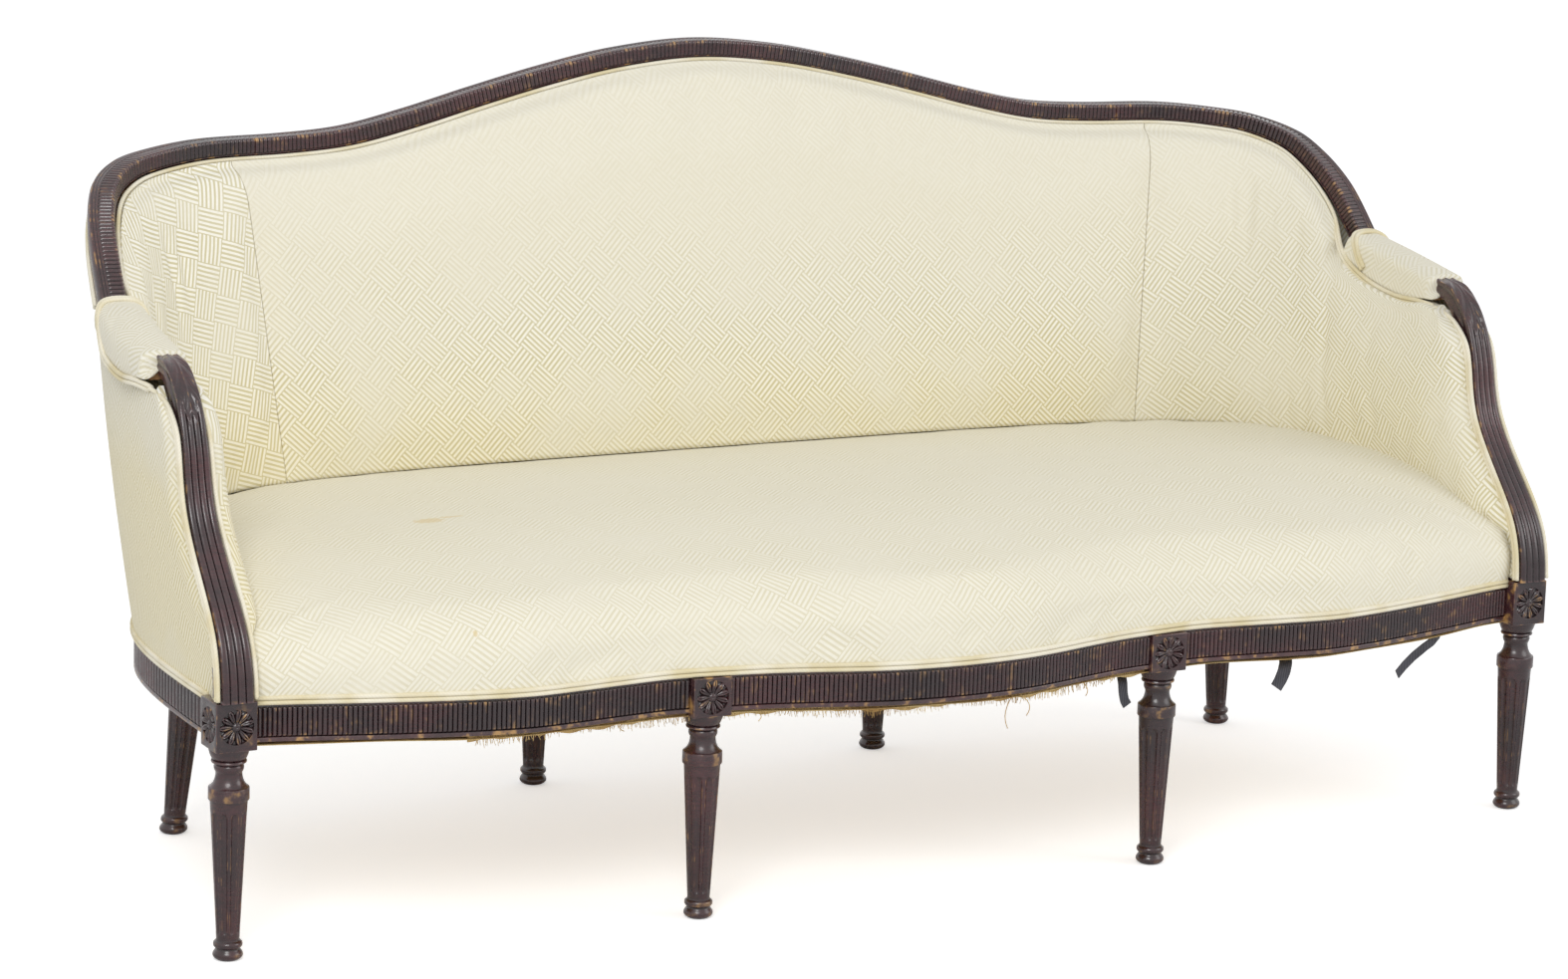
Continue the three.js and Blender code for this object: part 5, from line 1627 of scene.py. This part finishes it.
edge = LEG_SPAN - BLOCK / 2 - 2
marks = shares(-edge, edge, 300)
double_welt("welt_seat_front", [Vector((x, front_face(x) - 1.8, RAIL_TOP + 6.4)) for x in marks],
            [UP] * len(marks))
last = share_at_back(BLOCK / 2 + 3, RAIL_TOP)
marks = shares(-last, last, 400)
double_welt("welt_outside_foot", [wall(s, RAIL_TOP, -2.2)[0] + UP * 6.4 for s in marks], [UP] * len(marks))
marks = shares(-CREST_END + 0.004, CREST_END - 0.004, 300)
double_welt("welt_outside_top", [on_crest(s, 0.6, -CREST_HEEL - 4) for s in marks],
            [crest_frame(s)[2] for s in marks])

# %% [markdown]
# ## Under the seat
# The webbing is interlaced under the rails, and a hessian bottom cloth is tacked over it. The hessian is
# old: its front edge has come away and hangs in a ragged fringe behind the rail, and a few ends of dark
# webbing hang with it.

# %% Webbing and bottom cloth
WEB_WIDE, WEB_THICK, WEB_OVERLAP = 46, 1.6, 22
WEB_TOP = RAIL_BOTTOM - CLEARANCE
STRAP = [(-0.5, -0.3), (-0.49, -0.5), (0, -0.5), (0.49, -0.5), (0.5, -0.3)]
STRAP += [(-u, -w) for u, w in STRAP]


def strap_piece(name, points, wide_way, width, replaces=()):
    """A woven strap laid along a line of points, its width to either side."""
    rings = []
    for i, p in enumerate(points):
        along, aside = along_and_beside(points, i, wide_way)
        up = along.cross(aside)
        rings.append([p + aside * u * width + up * w * WEB_THICK for u, w in STRAP])
    piece = settle(sweep(rings), name, webbing, replaces, smooth_angle=40)


across_marks = [s * LEG_SPAN * k for s in (0.13, 0.46, 0.64, 0.82) for k in (-1, 1)]
back_marks = [s * REAR_FACE for s in (0.2, 0.48, 0.76)]
for n, x in enumerate(sorted(across_marks)):
    half = WEB_WIDE / 2
    start = max(front_face(x - half), front_face(x + half)) + RAIL_THICK - WEB_OVERLAP
    rear = REAR_FACE - RAIL_THICK + WEB_OVERLAP - 40 * (abs(x) / LEG_SPAN) ** 6
    line = [Vector((x, y, WEB_TOP - WEB_THICK * (0.6 + 0.55 * math.cos(math.pi * (y / 170 + n)))))
            for y in shares(start, rear, 60)]
    strap_piece(f"seat_web_{n + 1}", line, Vector((1, 0, 0)), WEB_WIDE,
                ["seat_webbing"] if n == 0 else ())
for n, y in enumerate(back_marks):
    reach = wall(share_at_back(y + WEB_WIDE / 2, RAIL_TOP), RAIL_TOP, RAIL_THICK - WEB_OVERLAP)[0].x
    line = [Vector((x, y, WEB_TOP - WEB_THICK * (0.6 - 0.55 * math.cos(math.pi * (x / 240 + n)))))
            for x in shares(-reach, reach, 90)]
    strap_piece(f"seat_web_cross_{n + 1}", line, Vector((0, 1, 0)), WEB_WIDE)

canvas_top = WEB_TOP - WEB_THICK * 2.4
columns = []
edge = LEG_SPAN - BLOCK / 2 - 2
for x in shares(-edge, edge, 241):
    start, rear = front_face(x) + 5, float(np.interp(abs(x), walk_at(RAIL_TOP)[0], walk_at(RAIL_TOP)[1])) - 5
    columns.append([Vector((x, lerp(start, rear, t), canvas_top - 3.5 * math.sin(math.pi * t)
                            - 0.8 * math.sin(x / 37 + t * 9))) for t in shares(0, 1, 60)])
bm, area, wide, tall = sheet_of(columns, upright=False)
canvas = settle(bm, "bottom_hessian", hessian, ["bottom_canvas"], smooth_angle=180)
thicken(canvas, "cloth_thickness", 0.0008)
print("bottom cloth", round(wide, 2), "by", round(tall, 2), "m")

# %% Torn ends of webbing
TORN = [
    [(536, 60, 264), (528, 34, 262), (520, 18, 255), (513, 12, 243), (506, 9, 232), (499, 8, 224)],
    [(812, 40, 263), (800, 18, 259), (778, 10, 257), (752, 8, 252), (728, 8, 242), (708, 8, 228), (700, 8, 220)],
    [(282, 50, 264), (274, 24, 259), (268, 12, 249), (262, 9, 237), (266, 8, 226), (272, 8, 221)],
]
for n, (line, width, way) in enumerate(zip(TORN, (17, 15, 13), ((1, 0, 0.5), (0.3, 0, 1), (1, 0, 0)))):
    line = [Vector((x, front_face(x) + y, z)) for x, y, z in line]
    line, _, _ = evenly(eased(line, 2), [UP] * len(line), 4.0)
    strap_piece(f"webbing_end_{n + 1}", line, Vector(way), width)

# %% Fringe of loose threads
chance = random.Random(7)
FRINGE_LEFT, FRINGE_RIGHT = -640.0, 250.0


def thread_rings(points, radius):
    besides = [Vector((0, 1, 0.2))] * len(points)
    return cord_rings(points, besides, 0, radius, sides=5)


def fringe():
    bm = bmesh.new()
    x = FRINGE_LEFT
    while x < FRINGE_RIGHT:
        hang = 5 + 6 * abs(math.sin(x / 83)) + chance.uniform(-2, 5)
        y = front_face(x) + 9 + chance.uniform(-2, 3)
        lean = chance.uniform(-3, 3)
        line = [Vector((x + lean * t * t, y - 1.5 * t, RAIL_BOTTOM - 1 - hang * t)) for t in shares(0, 1, 4)]
        join(bm, sweep(thread_rings(line, 0.35)))
        x += chance.uniform(1.1, 2.6)
    for x, reach, hang in ((-272, 14, 16), (74, -12, 44), (82, 16, 30), (188, 10, 20), (-430, -18, 14)):
        line = [Vector((x + reach * math.sin(2.4 * t), front_face(x) + 8 - 3 * t, RAIL_BOTTOM - 1 - hang * t))
                for t in shares(0, 1, 9)]
        join(bm, sweep(thread_rings(line, 0.6)))
    return bm


frayed = settle(fringe(), "hessian_fringe", hessian, smooth_angle=180)
rag = []
for x in shares(-650, 300, 300):
    hang = 4 + 4 * abs(math.sin(x / 61)) + 1.5 * math.sin(x / 7)
    rag.append([Vector((x, front_face(x) + 10, RAIL_BOTTOM - 0.6 - t * hang)) for t in shares(0, 1, 4)])
bm = sweep(rag, closed=False, capped=False)
rag_edge = settle(bm, "hessian_torn_edge", hessian, smooth_angle=180)
thicken(rag_edge, "cloth_thickness", 0.0007)

# %% [markdown]
# ## Back webbing and the bare frame
# Between the middle posts four more webs carry the back's stuffing. They can't be seen, but they replace
# their solid as the seat's do. The frame's own members keep their CAD shapes and are given the beech.

# %% Back webbing and frame
MEMBER_FRONT, TACK_LOW = 31.5, 470


def height_under(share, drop):
    above_it = share
    for _ in range(12):
        above_it += share - drop_place(above_it, drop)[0]
    return drop_place(above_it, drop)[1]


rear = MEMBER_FRONT + CLEARANCE + 1
for n, share in enumerate((-0.06, 0.06)):
    top = height_under(abs(share) + 0.02, CREST_HEEL + REST_GAP)
    line = [wall(share, z, rear)[0] for z in shares(TACK_LOW, top, 12)]
    strap_piece(f"back_web_{n + 1}", line, Vector((1, 0, 0)), WEB_WIDE,
                ["back_webbing"] if n == 0 else ())
for n, rise in enumerate((0.3, 0.6)):
    z = TACK_LOW + rise * (CREST_TOP - TACK_LOW) + WEB_WIDE / 2
    line = [wall(s, z, rear + 2)[0] for s in shares(-0.175, 0.175, 24)]
    strap_piece(f"back_web_cross_{n + 1}", line, UP, WEB_WIDE)

replaced = {n for name in made_pieces for n in bpy.data.objects[name].get("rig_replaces", [])}
for member in [o for n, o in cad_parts.items() if n not in replaced]:
    for face_slot in member.material_slots:
        face_slot.link = "OBJECT"
        face_slot.material = beech
    print("beech:", member.name)
